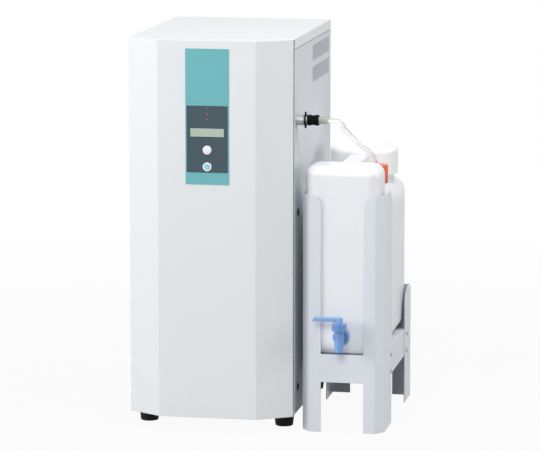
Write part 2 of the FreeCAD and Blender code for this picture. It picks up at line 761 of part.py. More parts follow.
def rear_panel():
    """The rear panel, with holes for its screws, the water fittings and the lead."""
    panel = box(-INNER_HALF, INNER_HALF, FRAME_REAR_Y, CABINET_DEPTH, FOOT_HEIGHT, SIDE_TOP_Z)
    holes = [screw_hole(seat, Y_AXIS) for seat in rear_screw_seats()]
    holes += [rod(COOLANT_RADIUS + LOOSE_GAP, (x, FRAME_REAR_Y - 1, z), SHEET + 2, Y_AXIS) for x, z in spigots()]
    holes.append(rod(GLAND_SHANK_RADIUS + LOOSE_GAP, (GLAND_X, FRAME_REAR_Y - 1, GLAND_Z), SHEET + 2, Y_AXIS))
    return panel.cut(holes)


def screws():
    """All pan-head screws: the feet's, the rear panel's and the rack's."""
    rear = [screw(seat, Y_AXIS) for seat in rear_screw_seats()]
    return foot_screws() + rear + [screw(seat, axis) for seat, axis in rack_screw_seats()]


def top_cover():
    """A lid with a skirt on three sides, whose front lip reaches over the hinge gap."""
    plate = box(-HALF_WIDTH, HALF_WIDTH, COVER_LIP_Y, CABINET_DEPTH, COVER_UNDER_Z, CABINET_HEIGHT)
    skirt = box(INNER_HALF, HALF_WIDTH, SIDE_FRONT_Y, CABINET_DEPTH, SKIRT_LOW_Z, CABINET_HEIGHT)
    rear = box(-HALF_WIDTH, HALF_WIDTH, FRAME_REAR_Y, CABINET_DEPTH, SKIRT_LOW_Z, CABINET_HEIGHT)
    cover = joined([plate, rear] + side_to_side(skirt))
    corner = SHEET * 0.8
    long_edges = edges_where(cover, lambda p: abs(p.x) > HALF_WIDTH - 0.01 and p.z > CABINET_HEIGHT - 0.01)
    return cover.makeFillet(corner, long_edges)


# Door

def door_outline():
    """The door's plan: a flat front with a wide chamfer at each side, listed anticlockwise."""
    flat = DOOR_FLAT_WIDTH / 2
    return [(-flat, 0), (flat, 0), (HALF_WIDTH, DOOR_CHAMFER_DEPTH), (HALF_WIDTH, DOOR_DEPTH),
            (-HALF_WIDTH, DOOR_DEPTH), (-HALF_WIDTH, DOOR_CHAMFER_DEPTH)]


def button_centres():
    """The middles of the two push buttons."""
    return [(PANEL_CENTRE_X, DISPLAY_BUTTON_Z), (PANEL_CENTRE_X, START_BUTTON_Z)]


def lamp_heights():
    """The heights of the status lamps."""
    return [LAMP_TOP_Z - i * LAMP_PITCH for i in range(LAMP_COUNT)]


def panel_cutouts(y0, y1):
    """The holes that the window, buttons and lamps need through the door's front layers."""
    half = WINDOW_WIDTH / 2 + WINDOW_GAP
    low, high = WINDOW_LOW_Z - WINDOW_GAP, WINDOW_LOW_Z + WINDOW_HEIGHT + WINDOW_GAP
    cuts = [box(PANEL_CENTRE_X - half, PANEL_CENTRE_X + half, y0, y1, low, high)]
    for x, z in button_centres():
        cuts.append(rod(BUTTON_RADIUS + LOOSE_GAP, (x, y0, z), y1 - y0, Y_AXIS))
    for z in lamp_heights():
        cuts.append(rod(LAMP_RADIUS + RUNNING_GAP, (PANEL_CENTRE_X, y0, z), y1 - y0, Y_AXIS))
    return cuts


def door_shell():
    """A folded sheet door, open at the back between its return flanges."""
    outline = door_outline()
    inside = offset_outline(outline, SHEET)
    shell = plan_prism(outline, FOOT_HEIGHT, CABINET_HEIGHT)
    hollow = plan_prism(inside, FOOT_HEIGHT + SHEET, CABINET_HEIGHT - SHEET)
    reach = HALF_WIDTH - DOOR_RETURN
    low, high = FOOT_HEIGHT + DOOR_RETURN_ENDS, CABINET_HEIGHT - DOOR_RETURN_ENDS
    mouth = box(-reach, reach, DOOR_DEPTH - 2 * SHEET, DOOR_DEPTH + 1, low, high)
    shell = shell.cut([hollow, mouth] + panel_cutouts(-1, 2 * SHEET))
    front = edges_where(shell, lambda p: p.z > CABINET_HEIGHT - 0.01 and p.y < DOOR_CHAMFER_DEPTH + 0.01)
    return shell.makeFillet(SHEET * 0.6, front)


def panel_plate():
    """The coloured plate on the door."""
    half = PLATE_WIDTH / 2
    x0, x1 = PANEL_CENTRE_X - half, PANEL_CENTRE_X + half
    plate = box(x0, x1, -PLATE_THICKNESS, 0, PLATE_LOW_Z, PLATE_LOW_Z + PLATE_HEIGHT)
    return plate.cut(panel_cutouts(-PLATE_THICKNESS - 1, 1))


def keypad_overlay():
    """The dark overlay with its rounded lower corners."""
    half = OVERLAY_WIDTH / 2
    x0, x1 = PANEL_CENTRE_X - half, PANEL_CENTRE_X + half
    sheet = box(x0, x1, OVERLAY_FRONT_Y, -PLATE_THICKNESS, OVERLAY_LOW_Z, OVERLAY_LOW_Z + OVERLAY_HEIGHT)
    low = edges_where(sheet, lambda p: p.z < OVERLAY_LOW_Z + 0.01)
    corners = [e for e in low if abs(e.Vertexes[0].Y - e.Vertexes[1].Y) > OVERLAY_THICKNESS / 2]
    return sheet.makeFillet(OVERLAY_CORNER, corners).cut(panel_cutouts(OVERLAY_FRONT_Y - 1, 0))


def display_window():
    """The clear window of the display."""
    half = WINDOW_WIDTH / 2
    x0, x1 = PANEL_CENTRE_X - half, PANEL_CENTRE_X + half
    return box(x0, x1, OVERLAY_FRONT_Y - WINDOW_PROUD, SHEET, WINDOW_LOW_Z, WINDOW_LOW_Z + WINDOW_HEIGHT)


def status_lamps():
    """Round lamps that stand on the board and show through the overlay."""
    start = OVERLAY_FRONT_Y - WINDOW_PROUD
    length = SHEET + BOARD_STANDOFF - start
    return [rod(LAMP_RADIUS, (PANEL_CENTRE_X, start, z), length, Y_AXIS) for z in lamp_heights()]


def button_bezels():
    """A raised ring round each button."""
    rings = []
    for x, z in button_centres():
        seat = (x, OVERLAY_FRONT_Y - BEZEL_HEIGHT, z)
        ring = pipe(BEZEL_RADIUS, BUTTON_RADIUS + LOOSE_GAP, seat, BEZEL_HEIGHT, Y_AXIS)
        rim = [e for e in ring.Edges if e.Vertexes[0].Y < seat[1] + 0.01 and e.Length > 2 * math.pi * BUTTON_RADIUS]
        rings.append(ring.makeFillet(BEZEL_HEIGHT * 0.3, rim))
    return rings


def push_button(x, z):
    """A domed button with a flange that keeps it behind the door's sheet, and a stem for its switch."""
    front = OVERLAY_FRONT_Y - BUTTON_PROUD
    flange_y = SHEET + LOOSE_GAP
    cap = rod(BUTTON_RADIUS, (x, front, z), flange_y - front + BUTTON_FLANGE, Y_AXIS)
    rim = edges_where(cap, lambda p: p.y < front + 0.01)
    cap = cap.makeFillet(BUTTON_DISH * 2, rim)
    flange = rod(BUTTON_FLANGE_RADIUS, (x, flange_y, z), BUTTON_FLANGE, Y_AXIS)
    stem_end = SHEET + BOARD_STANDOFF - BUTTON_TRAVEL - LOOSE_GAP
    stem = rod(BUTTON_STEM_RADIUS, (x, flange_y, z), stem_end - flange_y, Y_AXIS)
    return joined([cap, flange, stem])


def control_board():
    """The circuit board on four standoffs, with the display block that meets its window."""
    x0, x1 = PANEL_CENTRE_X - BOARD_WIDTH / 2, PANEL_CENTRE_X + BOARD_WIDTH / 2
    front = SHEET + BOARD_STANDOFF
    high_z = BOARD_LOW_Z + BOARD_HEIGHT
    board = box(x0, x1, front, front + BOARD_THICKNESS, BOARD_LOW_Z, high_z)
    solids = [board]
    for x in (x0 + STANDOFF_INSET, x1 - STANDOFF_INSET):
        for z in (BOARD_LOW_Z + STANDOFF_INSET, high_z - STANDOFF_INSET):
            solids.append(rod(STANDOFF_RADIUS, (x, SHEET, z), BOARD_STANDOFF, Y_AXIS))
    half = WINDOW_WIDTH / 2 + DISPLAY_BLOCK_MARGIN
    low = WINDOW_LOW_Z - DISPLAY_BLOCK_MARGIN
    high = WINDOW_LOW_Z + WINDOW_HEIGHT + DISPLAY_BLOCK_MARGIN
    solids.append(box(PANEL_CENTRE_X - half, PANEL_CENTRE_X + half, SHEET, front, low, high))
    return joined(solids)


def board_cover():
    """The box that closes over the board behind the door."""
    half = BOARD_WIDTH / 2 + BOARD_COVER_MARGIN
    low, high = BOARD_LOW_Z - BOARD_COVER_MARGIN, BOARD_LOW_Z + BOARD_HEIGHT + BOARD_COVER_MARGIN
    rear = SHEET + BOARD_COVER_DEPTH
    skin = BOARD_COVER_SHEET
    outer = box(PANEL_CENTRE_X - half, PANEL_CENTRE_X + half, SHEET, rear, low, high)
    edges = edges_where(outer, lambda p: p.y > rear - 0.01)
    outer = outer.makeFillet(2 * skin, edges)
    inner = box(PANEL_CENTRE_X - half + skin, PANEL_CENTRE_X + half - skin, SHEET - 1, rear - skin,
                low + skin, high - skin)
    return outer.cut(inner)


# Hinges and catch

def knuckle_spans(low_z):
    """The height range of each knuckle, with a slit between neighbours."""
    pitch = HINGE_HEIGHT / HINGE_KNUCKLES
    slit = HINGE_SLIT / 2
    return [(low_z + i * pitch + slit, low_z + (i + 1) * pitch - slit) for i in range(HINGE_KNUCKLES)]


def hinge_leaf(low_z, first, seat_y):
    """One leaf: its plate on the seat, and every other knuckle with a web to the plate."""
    inner_y = seat_y + HINGE_LEAF if seat_y < HINGE_PIN_Y else seat_y - HINGE_LEAF
    y0, y1 = sorted((seat_y, inner_y))
    plate = box(HINGE_PIN_X - HINGE_LEAF_REACH, HINGE_PIN_X, y0, y1, low_z, low_z + HINGE_HEIGHT)
    solids = [plate]
    for z0, z1 in knuckle_spans(low_z)[first::2]:
        w0, w1 = sorted((seat_y, HINGE_PIN_Y))
        solids.append(box(HINGE_PIN_X - HINGE_BARREL_RADIUS, HINGE_PIN_X, w0, w1, z0, z1))
        solids.append(rod(HINGE_BARREL_RADIUS, (HINGE_PIN_X, HINGE_PIN_Y, z0), z1 - z0, Z_AXIS))
    bore = rod(HINGE_PIN_RADIUS, (HINGE_PIN_X, HINGE_PIN_Y, low_z), HINGE_HEIGHT, Z_AXIS)
    return joined(solids).cut(bore)


def hinge_door_leaves():
    """The leaves on the door's return flange."""
    return [hinge_leaf(z, 1, DOOR_DEPTH) for z in (HINGE_LOW_Z, HINGE_HIGH_Z)]


def hinge_frame_leaves():
    """The leaves on the cabinet's right front post."""
    return [hinge_leaf(z, 0, FRAME_FRONT_Y) for z in (HINGE_LOW_Z, HINGE_HIGH_Z)]


def hinge_pins():
    """One pin through each hinge."""
    radius = HINGE_PIN_RADIUS - RUNNING_GAP
    return [rod(radius, (HINGE_PIN_X, HINGE_PIN_Y, z), HINGE_HEIGHT, Z_AXIS) for z in (HINGE_LOW_Z, HINGE_HIGH_Z)]


def magnet_catch():
    """The magnet on the left front post that holds the door shut."""
    x0 = -HALF_WIDTH + CATCH_INSET_X
    block = box(x0, x0 + CATCH_WIDTH, DOOR_DEPTH + CATCH_GAP, FRAME_FRONT_Y, CATCH_Z, CATCH_Z + CATCH_HEIGHT)
    front = edges_where(block, lambda p: p.y < DOOR_DEPTH + CATCH_GAP + 0.01)
    return block.makeChamfer(SHEET / 2, front)


# Inside the cabinet

def bulkhead():
    """The wall between the service bay and the boiler, with holes for the tubes."""
    wall = box(-LEG_INNER_HALF, LEG_INNER_HALF, BULKHEAD_Y, BULKHEAD_REAR_Y, BASE_TOP_Z, BULKHEAD_TOP_Z)
    hole = TUBE_RADIUS + SEAM_GAP
    centres = [(INLET_X, INLET_Z), (CHAMBER_X, CHAMBER_INLET_Z), (COCK_X, COCK_Z), (OUTLET_TURN_X, OUTLET_Z)]
    return wall.cut([rod(hole, (x, BULKHEAD_Y - 1, z), SHEET + 2, Y_AXIS) for x, z in centres])


def boiler_shelf():
    """The shelf that carries the boiler, with a lip down each side."""
    rear = FRAME_REAR_Y - FRAME_SHEET
    plate = box(-LEG_INNER_HALF, LEG_INNER_HALF, BULKHEAD_REAR_Y, rear, SHELF_Z, SHELF_TOP_Z)
    lip = box(LEG_INNER_HALF - SHEET, LEG_INNER_HALF, BULKHEAD_REAR_Y, rear, SHELF_TOP_Z - SHELF_LIP, SHELF_TOP_Z)
    shelf = joined([plate] + side_to_side(lip))
    return shelf.cut(rod(DRAIN_NOZZLE_RADIUS + LOOSE_GAP, (BOILER_X, BOILER_Y, SHELF_Z - 1), SHEET + 2, Z_AXIS))


def boiler_vessel():
    """The boiler: a flat-bottomed pot with a rim, a drain nozzle and a hole for the level chamber's link."""
    r, wall = BOILER_RADIUS, BOILER_WALL
    base = (BOILER_X, BOILER_Y, SHELF_TOP_Z)
    outline = [(0, 0), (r, 0), (r, BOILER_HEIGHT - BOILER_RIM), (BOILER_RIM_RADIUS, BOILER_HEIGHT - BOILER_RIM),
               (BOILER_RIM_RADIUS, BOILER_HEIGHT), (r - wall, BOILER_HEIGHT), (r - wall, wall), (0, wall)]
    pot = turned(outline, base, Z_AXIS, X_AXIS)
    start_z = SHELF_TOP_Z - DRAIN_NOZZLE_LENGTH
    nozzle = rod(DRAIN_NOZZLE_RADIUS, (BOILER_X, BOILER_Y, start_z), DRAIN_NOZZLE_LENGTH + wall / 2, Z_AXIS)
    drain = rod(TUBE_RADIUS / 2, (BOILER_X, BOILER_Y, start_z), DRAIN_NOZZLE_LENGTH + wall, Z_AXIS)
    link = rod(TUBE_RADIUS + 2 * RUNNING_GAP, (BOILER_X, BOILER_Y, CHAMBER_LINK_Z), r + wall, X_AXIS)
    return joined([pot, nozzle]).cut([drain, link])


def heater_holes():
    """Where the heater's two legs pass the boiler lid."""
    return [(BOILER_X + s * HEATER_SPREAD, BOILER_Y + HEATER_OFFSET_Y) for s in (-1, 1)]


def boiler_lid():
    """The lid with its steam riser."""
    plate = rod(BOILER_RIM_RADIUS, (BOILER_X, BOILER_Y, BOILER_RIM_Z), LID_THICKNESS, Z_AXIS)
    top = edges_where(plate, lambda p: p.z > LID_TOP_Z - 0.01)
    plate = plate.makeFillet(LID_THICKNESS / 3, top)
    riser = rod(RISER_RADIUS, (BOILER_X, BOILER_Y, BOILER_RIM_Z), RISER_TOP_Z - BOILER_RIM_Z, Z_AXIS)
    cuts = [rod(RISER_BORE, (BOILER_X, BOILER_Y, BOILER_RIM_Z - 1), RISER_TOP_Z - BOILER_RIM_Z + 2, Z_AXIS)]
    for x, y in heater_holes():
        cuts.append(rod(HEATER_RADIUS + LOOSE_GAP, (x, y, BOILER_RIM_Z - 1), LID_THICKNESS + 2, Z_AXIS))
    return joined([plate, riser]).cut(cuts)


def heater():
    """A sheathed U-shaped element hanging from two collars on the lid."""
    (x0, y), (x1, _) = heater_holes()
    top = LID_TOP_Z + HEATER_TERMINAL
    left, right = Vector(x0, y, top), Vector(x1, y, top)
    low_left, low_right = Vector(x0, y, HEATER_LOW_Z), Vector(x1, y, HEATER_LOW_Z)
    bottom = Vector((x0 + x1) / 2, y, HEATER_LOW_Z - HEATER_SPREAD)
    path = Part.Wire([
        Part.LineSegment(left, low_left).toShape(),
        Part.Arc(low_left, bottom, low_right).toShape(),
        Part.LineSegment(low_right, right).toShape(),
    ])
    section = Part.Wire([Part.makeCircle(HEATER_RADIUS, left, Z_AXIS)])
    rod_loop = path.makePipeShell([section], True, False)
    collars = [rod(HEATER_COLLAR_RADIUS, (x, y, LID_TOP_Z), HEATER_COLLAR, Z_AXIS) for x in (x0, x1)]
    return joined([rod_loop] + collars)


def coil_tails():
    """The coil's two straight ends, each as (x, z), which run rearwards to the cooling spigots."""
    top = COIL_LOW_Z + (COIL_RINGS - 1) * COIL_PITCH
    return [(BOILER_X + COIL_RADIUS, COIL_LOW_Z), (BOILER_X - COIL_RADIUS, top)]


def condenser_coil():
    """Rings of tube joined by short links on alternate sides, with straight tails to the rear."""
    solids = []
    for i in range(COIL_RINGS):
        z = COIL_LOW_Z + i * COIL_PITCH
        solids.append(Part.makeTorus(COIL_RADIUS, COIL_TUBE_RADIUS, Vector(BOILER_X, BOILER_Y, z), Z_AXIS))
        if i:
            side = 1 if i % 2 else -1
            foot = (BOILER_X, BOILER_Y + side * COIL_RADIUS, z - COIL_PITCH)
            solids.append(rod(COIL_TUBE_RADIUS * 0.8, foot, COIL_PITCH, Z_AXIS))
    length = FRAME_REAR_Y - COOLANT_INSIDE - BOILER_Y
    for x, z in coil_tails():
        solids.append(rod(COIL_TUBE_RADIUS * 0.9, (x, BOILER_Y, z), length, Y_AXIS))
    return joined(solids)


def condenser_jacket():
    """The closed jacket round the coil, with a side nozzle for the product."""
    r, wall = CONDENSER_RADIUS, CONDENSER_WALL
    height = CONDENSER_HIGH_Z - CONDENSER_LOW_Z
    base = (BOILER_X, BOILER_Y, CONDENSER_LOW_Z)
    hole = RISER_RADIUS + RUNNING_GAP
    outline = [(hole, 0), (r, 0), (r, height), (0, height), (0, height - wall), (r - wall, height - wall),
               (r - wall, wall), (hole, wall)]
    jacket = turned(outline, base, Z_AXIS, X_AXIS)
    inside = r - wall
    start = (BOILER_X + inside - wall, BOILER_Y, OUTLET_Z)
    nozzle = rod(NOZZLE_RADIUS, start, 2 * wall + NOZZLE_REACH, X_AXIS)
    cavity = rod(inside, (BOILER_X, BOILER_Y, CONDENSER_LOW_Z + wall), height - 2 * wall, Z_AXIS)
    bore = rod(OUTLET_BORE, start, 2 * wall + NOZZLE_REACH, X_AXIS)
    tails = [rod(COIL_TUBE_RADIUS + RUNNING_GAP, (x, BOILER_Y, z), 2 * r, Y_AXIS) for x, z in coil_tails()]
    return joined([jacket, nozzle.cut(cavity)]).cut([bore] + tails)


def condenser_clamp():
    """A band round the jacket on an arm from the bulkhead."""
    outer = CONDENSER_RADIUS + RUNNING_GAP + CLAMP_BAND
    band = pipe(outer, CONDENSER_RADIUS + RUNNING_GAP, (BOILER_X, BOILER_Y, CLAMP_LOW_Z), CLAMP_WIDTH, Z_AXIS)
    end_y = BOILER_Y - CONDENSER_RADIUS - CLAMP_BAND / 2
    half = CLAMP_ARM / 2
    arm = box(BOILER_X - half, BOILER_X + half, BULKHEAD_REAR_Y, end_y, CLAMP_LOW_Z, CLAMP_LOW_Z + CLAMP_WIDTH)
    return joined([band, arm])


def chamber_centre():
    """The level chamber's plan position, level with the boiler."""
    return CHAMBER_X, BOILER_Y


def level_chamber():
    """A clear tube on a foot, with a guide rod inside, a link to the boiler and an inlet at the front."""
    x, y = chamber_centre()
    r, wall = CHAMBER_RADIUS, CHAMBER_WALL
    height = CHAMBER_HIGH_Z - CHAMBER_LOW_Z
    outline = [(0, 0), (r, 0), (r, height), (0, height), (0, height - wall), (r - wall, height - wall),
               (r - wall, wall), (0, wall)]
    tube = turned(outline, (x, y, CHAMBER_LOW_Z), Z_AXIS, X_AXIS)
    guide = rod(FLOAT_ROD_RADIUS, (x, y, CHAMBER_LOW_Z + wall / 2), height - wall, Z_AXIS)
    foot = rod(CHAMBER_FOOT_RADIUS, (x, y, SHELF_TOP_Z), CHAMBER_LOW_Z - SHELF_TOP_Z + wall / 2, Z_AXIS)
    cavity = rod(r - wall, (x, y, CHAMBER_LOW_Z + wall), height - 2 * wall, Z_AXIS)
    link_start = BOILER_X + BOILER_RADIUS - 2 * BOILER_WALL
    link = rod(TUBE_RADIUS, (link_start, y, CHAMBER_LINK_Z), x - link_start, X_AXIS).cut(cavity)
    inlet_y = y - r - CHAMBER_INLET_REACH
    inlet = rod(TUBE_RADIUS, (x, inlet_y, CHAMBER_INLET_Z), CHAMBER_INLET_REACH + r, Y_AXIS).cut(cavity)
    bores = [rod(TUBE_RADIUS / 2, (link_start, y, CHAMBER_LINK_Z), x - r - link_start + wall, X_AXIS),
             rod(TUBE_RADIUS / 2, (x, inlet_y, CHAMBER_INLET_Z), CHAMBER_INLET_REACH + wall, Y_AXIS)]
    return joined([tube, guide, foot, link, inlet]).cut(bores)


def level_float():
    """The float that rides on the guide rod."""
    x, y = chamber_centre()
    z = CHAMBER_LOW_Z + CHAMBER_WALL + LOOSE_GAP
    body = rod(FLOAT_RADIUS, (x, y, z), FLOAT_HEIGHT, Z_AXIS)
    body = body.makeFillet(FLOAT_HEIGHT / 5, [e for e in body.Edges if e.Length > FLOAT_HEIGHT * 2])
    return body.cut(rod(FLOAT_BORE, (x, y, z), FLOAT_HEIGHT, Z_AXIS))


def treatment_ports(x):
    """The two ports on top of a treatment unit."""
    return [(x - PORT_SPREAD, TREATMENT_Y), (x + PORT_SPREAD, TREATMENT_Y)]


def ported(shape, x):
    """A treatment unit with its two ports through the bracket."""
    low = BRACKET_Z - SHEET
    height = BRACKET_SHEET + PORT_HEIGHT + SHEET
    return joined([shape] + [rod(PORT_RADIUS, (px, py, low), height, Z_AXIS) for px, py in treatment_ports(x)])


def prefilter():
    """The sediment filter: a head and a bowl with a rounded bottom."""
    head_z = BRACKET_Z - PREFILTER_HEAD
    head = rod(PREFILTER_HEAD_RADIUS, (PREFILTER_X, TREATMENT_Y, head_z), PREFILTER_HEAD, Z_AXIS)
    bowl = rod(PREFILTER_RADIUS, (PREFILTER_X, TREATMENT_Y, PREFILTER_LOW_Z), head_z - PREFILTER_LOW_Z, Z_AXIS)
    rim = edges_where(bowl, lambda p: p.z < PREFILTER_LOW_Z + 0.01)
    return [ported(head, PREFILTER_X), bowl.makeFillet(PREFILTER_RADIUS / 2, rim)]


def resin_cartridge():
    """The ion-exchange cartridge between its two end caps."""
    high = BRACKET_Z
    tube = rod(RESIN_RADIUS, (RESIN_X, TREATMENT_Y, RESIN_LOW_Z), high - RESIN_LOW_Z, Z_AXIS)
    caps = [rod(RESIN_CAP_RADIUS, (RESIN_X, TREATMENT_Y, z), RESIN_CAP, Z_AXIS)
            for z in (RESIN_LOW_Z, high - RESIN_CAP)]
    return ported(joined([tube] + caps), RESIN_X)


def cartridge_bracket():
    """The angle bracket that the treatment units hang from."""
    top = BRACKET_Z + BRACKET_SHEET
    plate = box(BRACKET_LEFT_X, BRACKET_RIGHT_X, BRACKET_FRONT_Y, BULKHEAD_Y, BRACKET_Z, top)
    flange_y = BULKHEAD_Y - BRACKET_SHEET
    flange = box(BRACKET_LEFT_X, BRACKET_RIGHT_X, flange_y, BULKHEAD_Y, BRACKET_Z, top + BRACKET_FLANGE)
    holes = []
    for centre in (PREFILTER_X, RESIN_X):
        for x, y in treatment_ports(centre):
            holes.append(rod(PORT_RADIUS + LOOSE_GAP, (x, y, BRACKET_Z - 1), BRACKET_SHEET + 2, Z_AXIS))
    return joined([plate, flange]).cut(holes)


def solenoid_valve():
    """The inlet valve: a block with its coil on top, fixed to the bulkhead."""
    half = VALVE_BODY / 2
    middle = VALVE_LOW_Z + VALVE_BODY
    block = box(VALVE_X - half, VALVE_X + half, VALVE_FRONT_Y, BULKHEAD_Y, VALVE_LOW_Z, middle)
    coil_half = VALVE_COIL / 2
    coil = box(VALVE_X - coil_half, VALVE_X + coil_half, VALVE_FRONT_Y + SHEET, BULKHEAD_Y - SHEET,
               middle, middle + VALVE_COIL)
    coil = coil.makeFillet(VALVE_COIL / 10, edges_where(coil, lambda p: p.z > middle + 0.01))
    return joined([block, coil])


def valve_centre_y():
    """The valve's ports lie in the middle of its block."""
    return (VALVE_FRONT_Y + BULKHEAD_Y) / 2


def inner_tubes():
    """The water's way through the cabinet, and the product's way to the outlet."""
    over_z = BRACKET_Z + BRACKET_SHEET + PORT_HEIGHT
    valve_y = valve_centre_y()
    valve_top = VALVE_LOW_Z + VALVE_BODY + VALVE_COIL
    pre_in, pre_out = treatment_ports(PREFILTER_X)
    resin_in, resin_out = treatment_ports(RESIN_X)
    high, low = over_z + 2.4 * INNER_BEND, over_z + 1.6 * INNER_BEND
    chamber_x, chamber_y = chamber_centre()
    inlet_y = chamber_y - CHAMBER_RADIUS - CHAMBER_INLET_REACH
    drain_z = SHELF_TOP_Z - DRAIN_NOZZLE_LENGTH
    drain_turn_z = drain_z - 4 * INNER_BEND
    supply = [(INLET_X, FRAME_REAR_Y - COOLANT_INSIDE, INLET_Z), (INLET_X, valve_y, INLET_Z),
              (INLET_X, valve_y, VALVE_LOW_Z)]
    to_prefilter = [(VALVE_X, valve_y, valve_top), (VALVE_X, valve_y, high), (pre_in[0], valve_y, high),
                    (pre_in[0], pre_in[1], high), (pre_in[0], pre_in[1], over_z)]
    to_resin = [(*pre_out, over_z), (*pre_out, low), (*resin_in, low), (*resin_in, over_z)]
    to_chamber = [(*resin_out, over_z), (*resin_out, CHAMBER_INLET_Z), (chamber_x, resin_out[1], CHAMBER_INLET_Z),
                  (chamber_x, inlet_y, CHAMBER_INLET_Z)]
    drain = [(BOILER_X, BOILER_Y, drain_z), (BOILER_X, BOILER_Y, drain_turn_z), (COCK_X, BOILER_Y, drain_turn_z),
             (COCK_X, BOILER_Y, COCK_Z), (COCK_X, BULKHEAD_REAR_Y, COCK_Z)]
    tubes = [inner_tube(route) for route in (supply, to_prefilter, to_resin, to_chamber, drain)]
    start_x = BOILER_X + CONDENSER_RADIUS + NOZZLE_REACH
    product = [Vector(start_x, BOILER_Y, OUTLET_Z), Vector(OUTLET_TURN_X, BOILER_Y, OUTLET_Z),
               Vector(OUTLET_TURN_X, OUTLET_Y, OUTLET_Z), Vector(OUTLET_INNER_X, OUTLET_Y, OUTLET_Z)]
    return tubes + [round_tube(product, [OUTLET_BEND] * 2, TUBE_RADIUS)[0]]


def drain_cock_body():
    """A brass cock through the bulkhead, with a bonnet on top and a spout below."""
    body = rod(COCK_BODY_RADIUS, (COCK_X, COCK_FRONT_Y, COCK_Z), BULKHEAD_Y - COCK_FRONT_Y, Y_AXIS)
    bonnet_z = COCK_Z + COCK_BODY_RADIUS + COCK_BONNET
    bonnet = rod(COCK_BONNET_RADIUS, (COCK_X, COCK_AXIS_Y, COCK_Z), bonnet_z - COCK_Z, Z_AXIS)
    spout_y = COCK_FRONT_Y + COCK_BODY_RADIUS
    spout = rod(COCK_SPOUT_RADIUS, (COCK_X, spout_y, COCK_Z - COCK_SPOUT_LENGTH), COCK_SPOUT_LENGTH, Z_AXIS)
    tail = rod(TUBE_RADIUS, (COCK_X, BULKHEAD_Y - 1, COCK_Z), SHEET + 1, Y_AXIS)
    bore = rod(COCK_SPOUT_RADIUS / 2, (COCK_X, spout_y, COCK_Z - COCK_SPOUT_LENGTH), COCK_SPOUT_LENGTH, Z_AXIS)
    stem = rod(COCK_STEM_RADIUS + LOOSE_GAP, (COCK_X, COCK_AXIS_Y, bonnet_z - COCK_BONNET), COCK_BONNET + 1, Z_AXIS)
    return joined([body, bonnet, spout, tail]).cut([bore, stem])


def drain_cock_lever():
    """The cock's lever, pointing to the front."""
    bonnet_z = COCK_Z + COCK_BODY_RADIUS + COCK_BONNET
    stem_z = bonnet_z - COCK_BONNET + LOOSE_GAP
    top = bonnet_z + LOOSE_GAP + COCK_LEVER_THICKNESS
    stem = rod(COCK_STEM_RADIUS, (COCK_X, COCK_AXIS_Y, stem_z), top - stem_z, Z_AXIS)
    half = COCK_LEVER_WIDTH / 2
    low = bonnet_z + LOOSE_GAP
    arm = box(COCK_X - half, COCK_X + half, COCK_AXIS_Y - COCK_LEVER_LENGTH, COCK_AXIS_Y, low, top)
    tip = edges_where(arm, lambda p: p.y < COCK_AXIS_Y - COCK_LEVER_LENGTH + 0.01)
    corners = [e for e in tip if abs(e.Vertexes[0].Z - e.Vertexes[1].Z) > COCK_LEVER_THICKNESS / 2]
    hub = rod(half, (COCK_X, COCK_AXIS_Y, low), COCK_LEVER_THICKNESS, Z_AXIS)
    return joined([arm.makeFillet(half * 0.8, corners), hub, stem])


def toggle_pivot():
    """The middle of the breaker's toggle."""
    return Vector(BREAKER_X, POWER_FRONT_Y + TOGGLE_PIVOT_DEPTH, BREAKER_Z)


def power_box():
    """The electrical box on the bulkhead, with a pocket for the breaker's toggle."""
    solid = box(POWER_LEFT_X, POWER_RIGHT_X, POWER_FRONT_Y, BULKHEAD_Y, POWER_LOW_Z, POWER_HIGH_Z)
    solid = solid.makeFillet(SHEET, edges_where(solid, lambda p: p.y < POWER_FRONT_Y + 0.01))
    half_w, half_h = BREAKER_WIDTH / 2, BREAKER_HEIGHT / 2
    pocket = box(BREAKER_X - half_w, BREAKER_X + half_w, POWER_FRONT_Y - 1, POWER_FRONT_Y + BREAKER_DEPTH,
                 BREAKER_Z - half_h, BREAKER_Z + half_h)
    pivot = toggle_pivot()
    reach = half_w + TOGGLE_TRUNNION
    seat = rod(TOGGLE_TRUNNION_RADIUS + RUNNING_GAP, (BREAKER_X - reach, pivot.y, pivot.z), 2 * reach, X_AXIS)
    return solid.cut([pocket, seat])


def breaker_toggle():
    """The breaker's toggle on its trunnions, switched off, its arm leaning down."""
    pivot = toggle_pivot()
    hub_half = BREAKER_WIDTH / 2 - LOOSE_GAP
    pin_half = BREAKER_WIDTH / 2 + TOGGLE_TRUNNION - LOOSE_GAP
    hub = rod(TOGGLE_HUB_RADIUS, (BREAKER_X - hub_half, pivot.y, pivot.z), 2 * hub_half, X_AXIS)
    pin = rod(TOGGLE_TRUNNION_RADIUS, (BREAKER_X - pin_half, pivot.y, pivot.z), 2 * pin_half, X_AXIS)
    half_w, half_t = TOGGLE_WIDTH / 2, TOGGLE_THICKNESS / 2
    arm = box(BREAKER_X - half_w, BREAKER_X + half_w, pivot.y - TOGGLE_REACH, pivot.y,
              pivot.z - half_t, pivot.z + half_t)
    tip = edges_where(arm, lambda p: p.y < pivot.y - TOGGLE_REACH + 0.01)
    arm = arm.makeFillet(half_t * 0.6, tip)
    toggle = joined([hub, pin, arm])
    toggle.rotate(pivot, X_AXIS, TOGGLE_REST_DEG)
    return toggle


def spigots():
    """The rear water fittings as (x, z): the supply, then the coolant in and out."""
    return [(INLET_X, INLET_Z)] + coil_tails()


